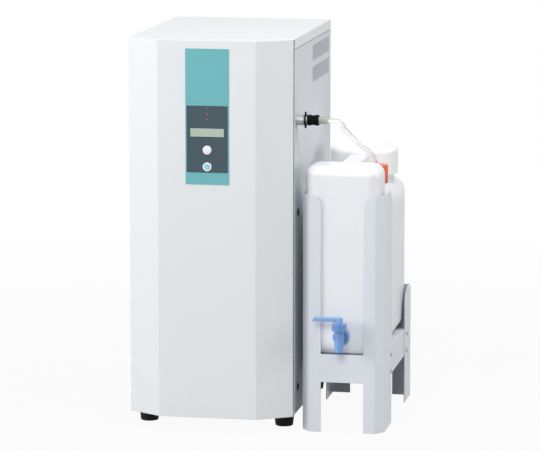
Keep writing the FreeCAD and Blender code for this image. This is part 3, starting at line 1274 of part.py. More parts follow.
def water_spigots():
    """Hose spigots through the rear panel."""
    result = []
    length = COOLANT_INSIDE + SHEET + COOLANT_OUTSIDE
    start_y = FRAME_REAR_Y - COOLANT_INSIDE
    for x, z in spigots():
        body = rod(COOLANT_RADIUS, (x, start_y, z), length, Y_AXIS)
        flange = rod(COOLANT_FLANGE_RADIUS, (x, CABINET_DEPTH, z), COOLANT_FLANGE, Y_AXIS)
        result.append(joined([body, flange]).cut(rod(COOLANT_BORE, (x, start_y, z), length, Y_AXIS)))
    return result


def cord_gland():
    """The gland that a mains lead enters by."""
    start = (GLAND_X, CABINET_DEPTH - SHEET - GLAND_SHANK, GLAND_Z)
    shank = rod(GLAND_SHANK_RADIUS, start, SHEET + GLAND_SHANK + 1, Y_AXIS)
    dome = Part.makeCone(GLAND_RADIUS, GLAND_RADIUS * 0.7, GLAND_LENGTH, Vector(GLAND_X, CABINET_DEPTH, GLAND_Z), Y_AXIS)
    length = SHEET + GLAND_SHANK + GLAND_LENGTH
    return joined([shank, dome]).cut(rod(GLAND_BORE, start, length, Y_AXIS))


# Product outlet and hose

def outlet_fitting():
    """The fitting through the right side, as one hollow turned part from its inner stub to its pipe."""
    inner = OUTLET_INNER_X
    nut_start = LEG_INNER_HALF - OUTLET_NUT
    outline = [(OUTLET_BORE, inner), (TUBE_RADIUS + SHEET, inner), (TUBE_RADIUS + SHEET, nut_start),
               (OUTLET_NUT_RADIUS, nut_start), (OUTLET_NUT_RADIUS, LEG_INNER_HALF),
               (OUTLET_SHANK_RADIUS, LEG_INNER_HALF), (OUTLET_SHANK_RADIUS, HALF_WIDTH),
               (OUTLET_STUB_RADIUS, HALF_WIDTH), (OUTLET_STUB_RADIUS, OUTLET_STUB_END_X),
               (OUTLET_PIPE_RADIUS, OUTLET_STUB_END_X), (OUTLET_PIPE_RADIUS, UNION_X + UNION_LENGTH),
               (OUTLET_BORE, UNION_X + UNION_LENGTH)]
    return turned(outline, (0, OUTLET_Y, OUTLET_Z), X_AXIS, Z_AXIS)


def retaining_ring():
    """The thin ring on the outlet, with a tab above and one below."""
    seat = (RETAINER_X, OUTLET_Y, OUTLET_Z)
    disc = rod(RETAINER_RADIUS, seat, RETAINER_THICKNESS, X_AXIS)
    half = RETAINER_TAB_WIDTH / 2
    tabs = box(RETAINER_X, RETAINER_X + RETAINER_THICKNESS, OUTLET_Y - half, OUTLET_Y + half,
               OUTLET_Z - RETAINER_TAB_RADIUS, OUTLET_Z + RETAINER_TAB_RADIUS)
    hole = rod(OUTLET_PIPE_RADIUS + RUNNING_GAP, seat, RETAINER_THICKNESS, X_AXIS)
    return joined([disc, tabs]).cut(hole)


def union_nut():
    """The waisted, fluted nut that turns on the outlet pipe."""
    length = UNION_LENGTH - LOOSE_GAP
    lip = length * 0.3
    ease = length * 0.08
    radius, waist, bore = UNION_RADIUS, UNION_WAIST_RADIUS, OUTLET_PIPE_RADIUS + LOOSE_GAP
    outline = [(bore, 0), (radius - ease / 2, 0), (radius, ease / 2), (radius, lip), (waist, lip + ease),
               (waist, length - lip - ease), (radius, length - lip), (radius, length - ease / 2),
               (radius - ease / 2, length), (bore, length)]
    body = turned(outline, (UNION_X, OUTLET_Y, OUTLET_Z), X_AXIS, Z_AXIS)
    flutes = []
    for i in range(UNION_FLUTES):
        angle = 2 * math.pi * i / UNION_FLUTES
        y = OUTLET_Y + (UNION_RADIUS + UNION_FLUTE_RADIUS * 0.5) * math.cos(angle)
        z = OUTLET_Z + (UNION_RADIUS + UNION_FLUTE_RADIUS * 0.5) * math.sin(angle)
        flutes.append(rod(UNION_FLUTE_RADIUS, (UNION_X - 1, y, z), UNION_LENGTH + 2, X_AXIS))
    return body.cut(flutes)


def hose_sleeve():
    """The clear sleeve between the fitting and the hose."""
    start_x = UNION_X + UNION_LENGTH
    start = (start_x, OUTLET_Y, OUTLET_Z)
    return pipe(SLEEVE_RADIUS, OUTLET_BORE, start, SLEEVE_END_X - start_x, X_AXIS)


def hose_route():
    """The hose's points: straight out of the sleeve, over in a tight bend, and down into the port's nipple."""
    direction = Vector(*NIPPLE_DIRECTION).normalize()
    end = Vector(FILL_X, FILL_Y, NIPPLE_BALL_Z) + direction * NIPPLE_COLLAR_REACH
    start = Vector(SLEEVE_END_X, OUTLET_Y, OUTLET_Z)
    way = end - start
    points = [start] + [start + Vector(way.x * a, way.y * b, way.z * c) for a, b, c in HOSE_SHARES]
    return points + [end + direction * HOSE_LAST_RUN, end]


def delivery_hose():
    """The clear hose from the outlet to the tank, with arcs as large as its runs allow."""
    points = hose_route()
    radii = bend_radii(points, 0.45)
    hose, length = round_tube(points, radii, HOSE_RADIUS)
    expected = math.pi * HOSE_RADIUS ** 2 * length
    print("hose length", round(length, 1), "radii", [round(r, 1) for r in radii])
    print("hose points", [tuple(round(c, 2) for c in p) for p in points])
    print("hose volume over section times length", round(hose.Volume / expected, 4))
    return hose


# Rack

def rack_plan(inset):
    """Half of the front frame's plan, outer side, moved inwards by an inset: bevel and flange on the right."""
    slope = math.hypot(RACK_BEVEL_X, RACK_BEVEL_Y)
    shift_front = inset * (slope - RACK_BEVEL_Y) / RACK_BEVEL_X
    shift_side = inset * (slope - RACK_BEVEL_X) / RACK_BEVEL_Y
    return [(RACK_RIGHT_X - RACK_BEVEL_X - shift_front, RACK_FRONT_Y + inset),
            (RACK_RIGHT_X - inset, RACK_FRONT_Y + RACK_BEVEL_Y + shift_side)]


def rack_mirror(shape):
    """A shape and its mirror image in the rack's middle plane."""
    return [shape, shape.mirror(Vector(RACK_CENTRE_X, 0, 0), X_AXIS)]


def rack_screw_holes():
    """Holes for the screws between the frames and the tray."""
    return [screw_hole(seat, axis) for seat, axis in rack_screw_seats()]


def flange_corner(y, z, dy, dz):
    """A wedge that cuts the corner of both side flanges."""
    corners = [Vector(RACK_LEFT_X - 1, y, z), Vector(RACK_LEFT_X - 1, y - dy, z), Vector(RACK_LEFT_X - 1, y, z - dz)]
    face = Part.Face(Part.makePolygon(corners + [corners[0]]))
    return face.extrude(Vector(RACK_WIDTH + 2, 0, 0))


def rack_front():
    """The front frame: two strips with bevels and flanges, joined by a panel, with a window for the tap."""
    outer, inner = rack_plan(0), rack_plan(RACK_SHEET)
    middle = RACK_CENTRE_X
    mirrored = lambda points: [(2 * middle - x, y) for x, y in reversed(points)]
    rear = RACK_FLANGE_END_Y
    outline = ([(RACK_LEFT_X, rear)] + mirrored(outer) + outer + [(RACK_RIGHT_X, rear), (RACK_RIGHT_X - RACK_SHEET, rear)]
               + list(reversed(inner)) + list(reversed(mirrored(inner))) + [(RACK_LEFT_X + RACK_SHEET, rear)])
    frame = plan_prism(outline, 0, RACK_FRONT_HEIGHT)
    half = RACK_WINDOW_WIDTH / 2
    y0, y1 = RACK_FRONT_Y - 1, RACK_FRONT_Y + 2 * RACK_SHEET
    window = box(middle - half, middle + half, y0, y1, RACK_WINDOW_LOW_Z, RACK_FRONT_HEIGHT + 1)
    knee = box(middle - half, middle + half, y0, y1, -1, RACK_KNEE_HIGH_Z)
    radius = RACK_STRIP_RADIUS
    centre_z = RACK_FRONT_HEIGHT - radius
    corner = box(middle + half - 1, middle + half + radius, y0, y1, centre_z, RACK_FRONT_HEIGHT + 1)
    corner = corner.cut(rod(radius, (middle + half + radius, y0, centre_z), y1 - y0, Y_AXIS))
    wedge = flange_corner(RACK_FLANGE_END_Y + 1, RACK_FRONT_HEIGHT + 1, RACK_FLANGE_CHAMFER_Y, RACK_FLANGE_CHAMFER_Z)
    return frame.cut([window, knee, wedge] + rack_mirror(corner) + rack_screw_holes())


def rack_tray():
    """The tray that the tank stands on, with a deep flange down each side."""
    outer = RACK_WIDTH / 2 - RACK_SHEET
    x0, x1 = RACK_CENTRE_X - outer, RACK_CENTRE_X + outer
    rear = RACK_REAR_Y - RACK_SHEET
    low = TRAY_TOP_Z - TRAY_FLANGE
    plate = box(x0, x1, TRAY_FRONT_Y, rear, TRAY_TOP_Z - RACK_SHEET, TRAY_TOP_Z)
    nose_half = outer - RACK_BEVEL_X
    nose = box(RACK_CENTRE_X - nose_half, RACK_CENTRE_X + nose_half, RACK_FRONT_Y + RACK_SHEET, TRAY_FRONT_Y + 1,
               TRAY_TOP_Z - RACK_SHEET, TRAY_TOP_Z)
    flange = box(x1 - RACK_SHEET, x1, TRAY_FRONT_Y, rear, low, TRAY_TOP_Z)
    return joined([plate, nose] + rack_mirror(flange)).cut(rack_screw_holes())


def rack_rear():
    """The rear frame: a panel with two legs and a flange down each side."""
    x0, x1 = RACK_LEFT_X, RACK_RIGHT_X
    outer = box(x0, x1, REAR_FRAME_FRONT_Y, RACK_REAR_Y, 0, REAR_FRAME_HEIGHT)
    inner = box(x0 + RACK_SHEET, x1 - RACK_SHEET, REAR_FRAME_FRONT_Y - 1, RACK_REAR_Y - RACK_SHEET,
                -1, REAR_FRAME_HEIGHT + 1)
    top_front = edges_where(outer, lambda p: p.y < REAR_FRAME_FRONT_Y + 0.01 and p.z > REAR_FRAME_HEIGHT - 0.01)
    frame = outer.makeFillet(REAR_FRAME_RADIUS, top_front).cut(inner)
    half = REAR_KNEE_WIDTH / 2
    knee = box(RACK_CENTRE_X - half, RACK_CENTRE_X + half, RACK_REAR_Y - 2 * RACK_SHEET, RACK_REAR_Y + 1,
               -1, RACK_KNEE_HIGH_Z)
    return frame.cut([knee] + rack_screw_holes())


# Storage tank

def tank_form(inset):
    """The tank's body, hump and neck, moved inwards by an inset."""
    half = TANK_WIDTH / 2 - inset
    x0, x1 = TANK_CENTRE_X - half, TANK_CENTRE_X + half
    y0, y1 = TANK_FRONT_Y + inset, TANK_REAR_Y - inset
    low = TRAY_TOP_Z + inset
    deck = TANK_DECK_Z - inset
    body = rounded_block(x0, x1, y0, y1, low, deck, TANK_CORNER - inset, 0, TANK_BASE_RADIUS - inset)
    shoulders = box(x0, x1, y0 - 1, y1, low - 1, deck)
    rims = edges_where(shoulders, lambda p: p.z > deck - 0.01)
    rims = [e for e in rims if max(v.Y for v in e.Vertexes) > y1 - 0.01]
    body = body.common(shoulders.makeFillet(TANK_SHOULDER_RADIUS - inset, rims))
    hump_low = TANK_DECK_Z - 2 * TANK_SHOULDER_RADIUS
    hump = rounded_block(x0, x1, y0, y0 + HUMP_DEPTH - 2 * inset, hump_low, HUMP_TOP_Z - inset,
                         TANK_CORNER - inset, HUMP_RADIUS - inset, 0)
    return joined([body, hump])


def tank_handle():
    """The moulded bridge from the hump to its post, in front of the big cap."""
    half = HANDLE_WIDTH / 2
    x0, x1 = TANK_CENTRE_X - half, TANK_CENTRE_X + half
    start_y = TANK_FRONT_Y + HUMP_DEPTH - HUMP_RADIUS
    low = HANDLE_TOP_Z - HANDLE_THICKNESS
    bridge = box(x0, x1, start_y, HANDLE_END_Y, low, HANDLE_TOP_Z)
    post = box(x0, x1, HANDLE_POST_Y, HANDLE_END_Y, TANK_DECK_Z - TANK_WALL, HANDLE_TOP_Z)
    handle = joined([bridge, post])
    long_top = edges_where(handle, lambda p: p.z > HANDLE_TOP_Z - 0.01)
    sides = [e for e in long_top if e.Vertexes[0].Y < HANDLE_END_Y - 1 or e.Vertexes[1].Y < HANDLE_END_Y - 1]
    sides = [e for e in sides if abs(e.Vertexes[0].X - e.Vertexes[1].X) < 1]
    return handle.makeFillet(HANDLE_EDGE, sides)


def storage_tank():
    """The hollow tank, with its handle, wide neck, filling port and tap boss."""
    outer = tank_form(0)
    neck = rod(NECK_RADIUS, (TANK_CENTRE_X, NECK_Y, TANK_DECK_Z - TANK_SHOULDER_RADIUS),
               NECK_TOP_Z - TANK_DECK_Z + TANK_SHOULDER_RADIUS, Z_AXIS)
    port = rod(FILL_NECK_RADIUS, (FILL_X, FILL_Y, FILL_NECK_LOW_Z), FILL_NECK_TOP_Z - FILL_NECK_LOW_Z, Z_AXIS)
    boss = rod(TAP_BOSS_RADIUS, (TAP_X, TANK_FRONT_Y - TAP_BOSS_PROUD, TAP_Z), TAP_BOSS_PROUD + TAP_BOSS_DEPTH, Y_AXIS)
    hollow = tank_form(TANK_WALL)
    cavity_low = TANK_DECK_Z - TANK_SHOULDER_RADIUS
    mouth = rod(NECK_RADIUS - NECK_WALL, (TANK_CENTRE_X, NECK_Y, cavity_low), NECK_TOP_Z - cavity_low + 1, Z_AXIS)
    port_bore = rod(FILL_NECK_BORE, (FILL_X, FILL_Y, FILL_NECK_LOW_Z - 1), FILL_NECK_TOP_Z - FILL_NECK_LOW_Z + 2, Z_AXIS)
    tap_hole = rod(TAP_STEM_RADIUS + RUNNING_GAP, (TAP_X, TANK_FRONT_Y - 2, TAP_Z), TANK_WALL + 4, Y_AXIS)
    solid = joined([outer, tank_handle(), neck, port, boss])
    return solid.cut([hollow, mouth, port_bore, tap_hole])


def inner_lid():
    """The plug that seals the wide neck, with a crown that the cap presses on."""
    low = NECK_TOP_Z
    flange = rod(NECK_RADIUS, (TANK_CENTRE_X, NECK_Y, low), LID_FLANGE, Z_AXIS)
    plug = rod(NECK_RADIUS - NECK_WALL - LOOSE_GAP, (TANK_CENTRE_X, NECK_Y, low - LID_PLUG), LID_PLUG, Z_AXIS)
    ceiling_z = CAP_TOP_Z - CAP_THICKNESS
    crown = rod(LID_CROWN_RADIUS, (TANK_CENTRE_X, NECK_Y, low), ceiling_z - low, Z_AXIS)
    return joined([flange, plug, crown])


def tank_cap():
    """The wide cap with a deep skirt and a rounded edge."""
    height = CAP_TOP_Z - CAP_SKIRT_Z
    cap = rod(CAP_RADIUS, (TANK_CENTRE_X, NECK_Y, CAP_SKIRT_Z), height, Z_AXIS)
    rim = edges_where(cap, lambda p: p.z > CAP_TOP_Z - 0.01)
    cap = cap.makeFillet(CAP_EDGE_RADIUS, rim)
    inside = CAP_RADIUS - CAP_WALL
    hollow = rod(inside, (TANK_CENTRE_X, NECK_Y, CAP_SKIRT_Z - 1), height - CAP_THICKNESS + 1, Z_AXIS)
    ceiling = edges_where(hollow, lambda p: p.z > CAP_TOP_Z - CAP_THICKNESS - 0.01)
    return cap.cut(hollow.makeFillet(CAP_EDGE_RADIUS - CAP_WALL / 2, ceiling))


def port_nipple():
    """The nipple under the port's cap: a flange on the neck, a stem through the cap, and an angled end."""
    bore = NIPPLE_BORE
    base = (FILL_X, FILL_Y, FILL_NECK_TOP_Z)
    flange = rod(FILL_NECK_RADIUS, base, NIPPLE_FLANGE, Z_AXIS)
    stem = rod(NIPPLE_STEM_RADIUS, base, NIPPLE_BALL_Z - FILL_NECK_TOP_Z, Z_AXIS)
    ball_centre = Vector(FILL_X, FILL_Y, NIPPLE_BALL_Z)
    ball = Part.makeSphere(NIPPLE_BALL_RADIUS, ball_centre)
    wide = 2 * NIPPLE_BALL_RADIUS
    low_cut = box(FILL_X - wide, FILL_X + wide, FILL_Y - wide, FILL_Y + wide, FILL_NECK_TOP_Z,
                  FILL_CAP_HIGH_Z + LOOSE_GAP)
    direction = Vector(*NIPPLE_DIRECTION).normalize()
    collar = Part.makeCylinder(HOSE_RADIUS, NIPPLE_COLLAR_REACH / 2, ball_centre + direction * (NIPPLE_COLLAR_REACH / 2),
                               direction)
    angled_bore = Part.makeCylinder(bore, NIPPLE_COLLAR_REACH + 1, ball_centre, direction)
    straight_bore = rod(bore, base, NIPPLE_BALL_Z - FILL_NECK_TOP_Z, Z_AXIS)
    upper = joined([ball, collar]).cut(low_cut)
    return joined([flange, stem, upper]).cut([angled_bore, straight_bore])


def port_cap():
    """The screw cap that holds the nipple, with grip ribs round its side."""
    height = FILL_CAP_HIGH_Z - FILL_CAP_LOW_Z
    cap = rod(FILL_CAP_RADIUS - FILL_GRIP_RADIUS / 2, (FILL_X, FILL_Y, FILL_CAP_LOW_Z), height, Z_AXIS)
    grips = []
    for i in range(FILL_CAP_GRIPS):
        angle = 2 * math.pi * i / FILL_CAP_GRIPS
        reach = FILL_CAP_RADIUS - FILL_GRIP_RADIUS
        x, y = FILL_X + reach * math.cos(angle), FILL_Y + reach * math.sin(angle)
        grips.append(rod(FILL_GRIP_RADIUS, (x, y, FILL_CAP_LOW_Z), height - FILL_GRIP_RADIUS, Z_AXIS))
    depth = FILL_NECK_TOP_Z + NIPPLE_FLANGE - FILL_CAP_LOW_Z
    inside = rod(FILL_NECK_RADIUS + LOOSE_GAP, (FILL_X, FILL_Y, FILL_CAP_LOW_Z - 1), depth + 1, Z_AXIS)
    hole = rod(NIPPLE_STEM_RADIUS + LOOSE_GAP, (FILL_X, FILL_Y, FILL_CAP_LOW_Z), height + 1, Z_AXIS)
    return joined([cap] + grips).cut([inside, hole])


# Tap

def tap_spout_direction():
    """The way the tap's spout points: down and a little forward."""
    lean = math.radians(TAP_SPOUT_LEAN_DEG)
    return Vector(0, -math.sin(lean), -math.cos(lean))


def tap_body():
    """The tap: an upright barrel, a spout, and a threaded stem with a flange through the tank's wall."""
    barrel = rod(TAP_BODY_RADIUS, (TAP_X, TAP_Y, TAP_BODY_LOW_Z), TAP_BODY_TOP_Z - TAP_BODY_LOW_Z, Z_AXIS)
    start = Vector(TAP_X, TAP_Y, TAP_SPOUT_START_Z)
    direction = tap_spout_direction()
    spout = Part.makeCylinder(TAP_SPOUT_RADIUS, TAP_SPOUT_LENGTH, start, direction)
    bore = Part.makeCylinder(TAP_SPOUT_BORE, TAP_SPOUT_LENGTH / 2 + 1, start + direction * (TAP_SPOUT_LENGTH / 2), direction)
    end_y = TANK_FRONT_Y + TAP_STEM_INSIDE
    stem = rod(TAP_STEM_RADIUS, (TAP_X, TAP_Y, TAP_Z), end_y - TAP_Y, Y_AXIS)
    face_y = TANK_FRONT_Y - TAP_BOSS_PROUD
    flange = rod(TAP_FLANGE_RADIUS, (TAP_X, face_y - TAP_FLANGE, TAP_Z), TAP_FLANGE, Y_AXIS)
    rim = edges_where(flange, lambda p: p.y < face_y - TAP_FLANGE + 0.01)
    flange = flange.makeFillet(TAP_FLANGE / 3, rim)
    return joined([barrel, spout, stem, flange]).cut(bore)


def tap_collar():
    """The ribbed collar that closes the tap's barrel."""
    ring = pipe(TAP_COLLAR_RADIUS, TAP_LEVER_STEM_RADIUS + LOOSE_GAP, (TAP_X, TAP_Y, TAP_BODY_TOP_Z),
                TAP_COLLAR_HEIGHT, Z_AXIS)
    rim = [e for e in ring.Edges if e.Length > 2 * math.pi * (TAP_COLLAR_RADIUS - 1) and len(e.Vertexes) == 1]
    ring = ring.makeFillet(TAP_COLLAR_HEIGHT / 10, rim)
    grooves = []
    for i in range(TAP_COLLAR_GRIPS):
        angle = 2 * math.pi * (i + 0.5) / TAP_COLLAR_GRIPS
        x = TAP_X + TAP_COLLAR_RADIUS * math.cos(angle)
        y = TAP_Y + TAP_COLLAR_RADIUS * math.sin(angle)
        grooves.append(rod(TAP_COLLAR_GRIP_RADIUS, (x, y, TAP_BODY_TOP_Z), TAP_COLLAR_HEIGHT, Z_AXIS))
    return ring.cut(grooves)


def tap_lever():
    """The lever on its stem, pointing to the cabinet, with a slanted tip."""
    collar_top = TAP_BODY_TOP_Z + TAP_COLLAR_HEIGHT
    low = collar_top + LOOSE_GAP
    arm_low = low + TAP_HUB_HEIGHT
    arm_top = arm_low + TAP_LEVER_HEIGHT
    stem_z = TAP_BODY_TOP_Z + LOOSE_GAP
    stem = rod(TAP_LEVER_STEM_RADIUS, (TAP_X, TAP_Y, stem_z), low - stem_z + 1, Z_AXIS)
    hub = rod(TAP_HUB_RADIUS, (TAP_X, TAP_Y, low), arm_top - low, Z_AXIS)
    hub = hub.makeFillet(TAP_LEVER_HEIGHT / 4, edges_where(hub, lambda p: p.z > arm_top - 0.01))
    tip_x = TAP_X - TAP_LEVER_REACH
    half = TAP_LEVER_WIDTH / 2
    corners = [Vector(TAP_X, TAP_Y - half, arm_low), Vector(tip_x, TAP_Y - half, arm_low),
               Vector(tip_x + TAP_LEVER_TIP / 3, TAP_Y - half, arm_top), Vector(TAP_X, TAP_Y - half, arm_top)]
    arm = Part.Face(Part.makePolygon(corners + [corners[0]])).extrude(Vector(0, TAP_LEVER_WIDTH, 0))
    long_edges = [e for e in arm.Edges if abs(e.Vertexes[0].X - e.Vertexes[1].X) > TAP_LEVER_REACH / 2]
    return joined([arm.makeFillet(TAP_LEVER_HEIGHT / 4, long_edges), hub, stem])


def all_pieces():
    """Every node's solids, by the node's name."""
    display_z, start_z = DISPLAY_BUTTON_Z, START_BUTTON_Z
    return {
        "base_pan": [base_pan()],
        "rubber_feet": rubber_feet(),
        "chassis_frame": chassis_frame(),
        "left_side_panel": [left_side_panel()],
        "right_side_panel": [right_side_panel()],
        "side_plugs": side_plugs(),
        "rear_panel": [rear_panel()],
        "screws": screws(),
        "top_cover": [top_cover()],
        "door_shell": [door_shell()],
        "panel_plate": [panel_plate()],
        "keypad_overlay": [keypad_overlay()],
        "display_window": [display_window()],
        "status_lamps": status_lamps(),
        "button_bezels": button_bezels(),
        "display_button": [push_button(PANEL_CENTRE_X, display_z)],
        "start_button": [push_button(PANEL_CENTRE_X, start_z)],
        "control_board": [control_board()],
        "board_cover": [board_cover()],
        "hinge_door_leaves": hinge_door_leaves(),
        "hinge_frame_leaves": hinge_frame_leaves(),
        "hinge_pins": hinge_pins(),
        "magnet_catch": [magnet_catch()],
        "bulkhead": [bulkhead()],
        "boiler_shelf": [boiler_shelf()],
        "boiler_vessel": [boiler_vessel()],
        "boiler_lid": [boiler_lid()],
        "heater": [heater()],
        "condenser_jacket": [condenser_jacket()],
        "condenser_coil": [condenser_coil()],
        "condenser_clamp": [condenser_clamp()],
        "level_chamber": [level_chamber()],
        "level_float": [level_float()],
        "prefilter": prefilter(),
        "resin_cartridge": [resin_cartridge()],
        "cartridge_bracket": [cartridge_bracket()],
        "solenoid_valve": [solenoid_valve()],
        "inner_tubes": inner_tubes(),
        "drain_cock_body": [drain_cock_body()],
        "drain_cock_lever": [drain_cock_lever()],
        "power_box": [power_box()],
        "breaker_toggle": [breaker_toggle()],
        "water_spigots": water_spigots(),
        "cord_gland": [cord_gland()],
        "outlet_fitting": [outlet_fitting()],
        "retaining_ring": [retaining_ring()],
        "union_nut": [union_nut()],
        "hose_sleeve": [hose_sleeve()],
        "delivery_hose": [delivery_hose()],
        "rack_front": [rack_front()],
        "rack_tray": [rack_tray()],
        "rack_rear": [rack_rear()],
        "storage_tank": [storage_tank()],
        "inner_lid": [inner_lid()],
        "tank_cap": [tank_cap()],
        "port_nipple": [port_nipple()],
        "port_cap": [port_cap()],
        "tap_body": [tap_body()],
        "tap_collar": [tap_collar()],
        "tap_lever": [tap_lever()],
    }


def footprint_centre(pieces):
    """The middle of the object's footprint, without the hose."""
    bounds = FreeCAD.BoundBox()
    for name, solids in pieces.items():
        if name != "delivery_hose":
            for solid in solids:
                bounds.add(solid.BoundBox)
    return Vector(bounds.Center.x, bounds.Center.y, 0)


def main():
    """Writes one file per node, with the origin in the middle of the footprint on the floor."""
    os.makedirs("parts", exist_ok=True)
    pieces = all_pieces()
    centre = footprint_centre(pieces)
    print("origin in the working frame", round(centre.x, 4), round(centre.y, 4))
    for name, solids in pieces.items():
        shape = solids[0] if len(solids) == 1 else Part.makeCompound(solids)
        shape.translate(centre * -1)
        if not shape.isValid() or len(shape.Solids) != len(solids):
            print("check", name, "valid", shape.isValid(), "solids", len(shape.Solids), "of", len(solids))
        shape.exportStep(f"parts/{name}.step")


main()
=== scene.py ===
"""A laboratory water still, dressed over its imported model.

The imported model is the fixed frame. This script gives every CAD node its finish, builds the pieces that a
solid can't show well (the clear hose, the door's foam seal and the hinges' rivets), and sets up the floor,
the light and the camera. Lengths are in metres in the row frame: X to the right, Y to the rear and Z up,
with the origin on the floor.
"""

from __future__ import annotations

import json
import logging
import math
from dataclasses import dataclass, field
from enum import Enum
from typing import ClassVar, Optional, Union

import bmesh
import bpy
from mathutils import Matrix, Vector

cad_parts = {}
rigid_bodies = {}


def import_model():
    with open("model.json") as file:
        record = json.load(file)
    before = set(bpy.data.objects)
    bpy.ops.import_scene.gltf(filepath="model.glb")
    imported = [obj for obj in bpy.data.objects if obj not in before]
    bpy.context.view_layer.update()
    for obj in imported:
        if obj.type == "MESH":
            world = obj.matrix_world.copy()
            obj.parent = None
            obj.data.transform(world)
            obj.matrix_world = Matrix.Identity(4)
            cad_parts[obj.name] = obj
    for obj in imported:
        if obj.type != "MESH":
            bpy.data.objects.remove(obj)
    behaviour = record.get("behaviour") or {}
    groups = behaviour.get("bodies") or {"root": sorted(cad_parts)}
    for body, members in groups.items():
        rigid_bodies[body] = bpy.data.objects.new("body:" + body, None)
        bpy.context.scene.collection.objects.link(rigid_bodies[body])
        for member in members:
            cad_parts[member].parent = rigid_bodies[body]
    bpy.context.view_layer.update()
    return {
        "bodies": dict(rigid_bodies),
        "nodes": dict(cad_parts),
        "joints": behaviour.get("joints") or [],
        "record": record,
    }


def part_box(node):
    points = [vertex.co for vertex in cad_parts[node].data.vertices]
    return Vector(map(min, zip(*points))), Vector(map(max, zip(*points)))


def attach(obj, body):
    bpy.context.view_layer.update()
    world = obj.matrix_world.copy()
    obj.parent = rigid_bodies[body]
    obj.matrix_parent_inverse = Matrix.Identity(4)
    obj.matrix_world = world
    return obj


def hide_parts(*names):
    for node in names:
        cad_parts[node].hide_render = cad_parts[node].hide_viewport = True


LOG = logging.getLogger("water_still")
Shape = bmesh.types.BMesh
Pair = tuple[float, float]
Point = tuple[float, float, float]
Colour = tuple[float, float, float]
Input = Union["Wire", float, int, tuple, Vector]
Settings = Optional[dict[str, object]]
Sockets = Optional[dict[Union[int, str], Input]]


def srgb(red: int, green: int, blue: int) -> Colour:
    """Turn a colour as a screen shows it into the linear values that a shader takes, by the standard curve.

    Args:
        red: Red from 0 to 255.
        green: Green from 0 to 255.
        blue: Blue from 0 to 255.

    Returns:
        The three linear values from 0 to 1.
    """
    values = []
    for level in (red, green, blue):
        share = level / 255
        values.append(share / 12.92 if share <= 0.04045 else ((share + 0.055) / 1.055) ** 2.4)
    return values[0], values[1], values[2]


def shade(colour: Colour, factor: float) -> Colour:
    """Make a colour darker or lighter.

    Args:
        colour: The linear colour.
        factor: What each value is multiplied by.

    Returns:
        The new colour, with no value above 1.
    """
    return tuple(min(1.0, value * factor) for value in colour)


WHITE: Colour = (1.0, 1.0, 1.0)


class Axis(Enum):
    """A direction of the row frame, for a grain or for the way a face looks."""

    X = Vector((1, 0, 0))
    Y = Vector((0, 1, 0))
    Z = Vector((0, 0, 1))

    def drawn_out(self, fineness: float) -> Point:
        """Give a pattern's stretch when it is drawn out along this direction.

        Args:
            fineness: How much finer the pattern is along it, below 1 for long marks.

        Returns:
            How much finer the pattern is along X, Y and Z.
        """
        return tuple(fineness if part else 1.0 for part in self.value)


class Body(Enum):
    """The moving bodies that pieces made here ride on."""

    CABINET = "cabinet"
    DOOR = "door"


@dataclass(frozen=True)
class Mottle:
    """A soft random pattern: how many patches there are in a metre, and how many finer layers."""

    scale: float
    detail: float = 2.0


@dataclass(frozen=True)
class Relief(Mottle):
    """A soft random pattern that stands out: how strongly it shows, and its real height."""

    strength: float = 0.1
    depth: float = 0.0001


@dataclass(frozen=True)
class Layer:
    """A thin layer over a finish: how much of it shows at most, and its tone of the finish's colour."""

    share: float
    tone: float


@dataclass(frozen=True)
class Wire:
    """One output of a shader node, which ordinary arithmetic turns into Math nodes."""

    graph: "Graph"
    socket: bpy.types.NodeSocket

    def __add__(self, other: Input) -> "Wire":
        """Add a value or a wire."""
        return self.graph.math("ADD", self, other)

    def __radd__(self, other: Input) -> "Wire":
        """Add this wire to a value."""
        return self.graph.math("ADD", other, self)

    def __sub__(self, other: Input) -> "Wire":
        """Take a value or a wire away."""
        return self.graph.math("SUBTRACT", self, other)

    def __rsub__(self, other: Input) -> "Wire":
        """Take this wire away from a value."""
        return self.graph.math("SUBTRACT", other, self)

    def __mul__(self, other: Input) -> "Wire":
        """Multiply by a value or a wire."""
        return self.graph.math("MULTIPLY", self, other)

    def __rmul__(self, other: Input) -> "Wire":
        """Multiply a value by this wire."""
        return self.graph.math("MULTIPLY", other, self)

    def __truediv__(self, other: Input) -> "Wire":
        """Divide by a value or a wire."""
        return self.graph.math("DIVIDE", self, other)

    def __rtruediv__(self, other: Input) -> "Wire":
        """Divide a value by this wire."""
        return self.graph.math("DIVIDE", other, self)

    def __pow__(self, other: Input) -> "Wire":
        """Raise to a power."""
        return self.graph.math("POWER", self, other)

    def __rpow__(self, other: Input) -> "Wire":
        """Raise a value to this wire's power."""
        return self.graph.math("POWER", other, self)

    def __gt__(self, other: Input) -> "Wire":
        """Give 1 where this is greater, and otherwise 0."""
        return self.graph.math("GREATER_THAN", self, other)

    def __lt__(self, other: Input) -> "Wire":
        """Give 1 where this is less, and otherwise 0."""
        return self.graph.math("LESS_THAN", self, other)

    def fraction(self) -> "Wire":
        """Give what is left after the whole number."""
        return self.graph.math("FRACT", self, 0.0)

    def ranged(self, low: float, high: float) -> "Wire":
        """Stretch a range to 0 to 1 with a smooth step.

        Args:
            low: The value that becomes 0.
            high: The value that becomes 1.

        Returns:
            The stretched wire.
        """
        sockets = {"Value": self, "From Min": low, "From Max": high}
        return self.graph.node("ShaderNodeMapRange", {"interpolation_type": "SMOOTHSTEP"}, sockets)


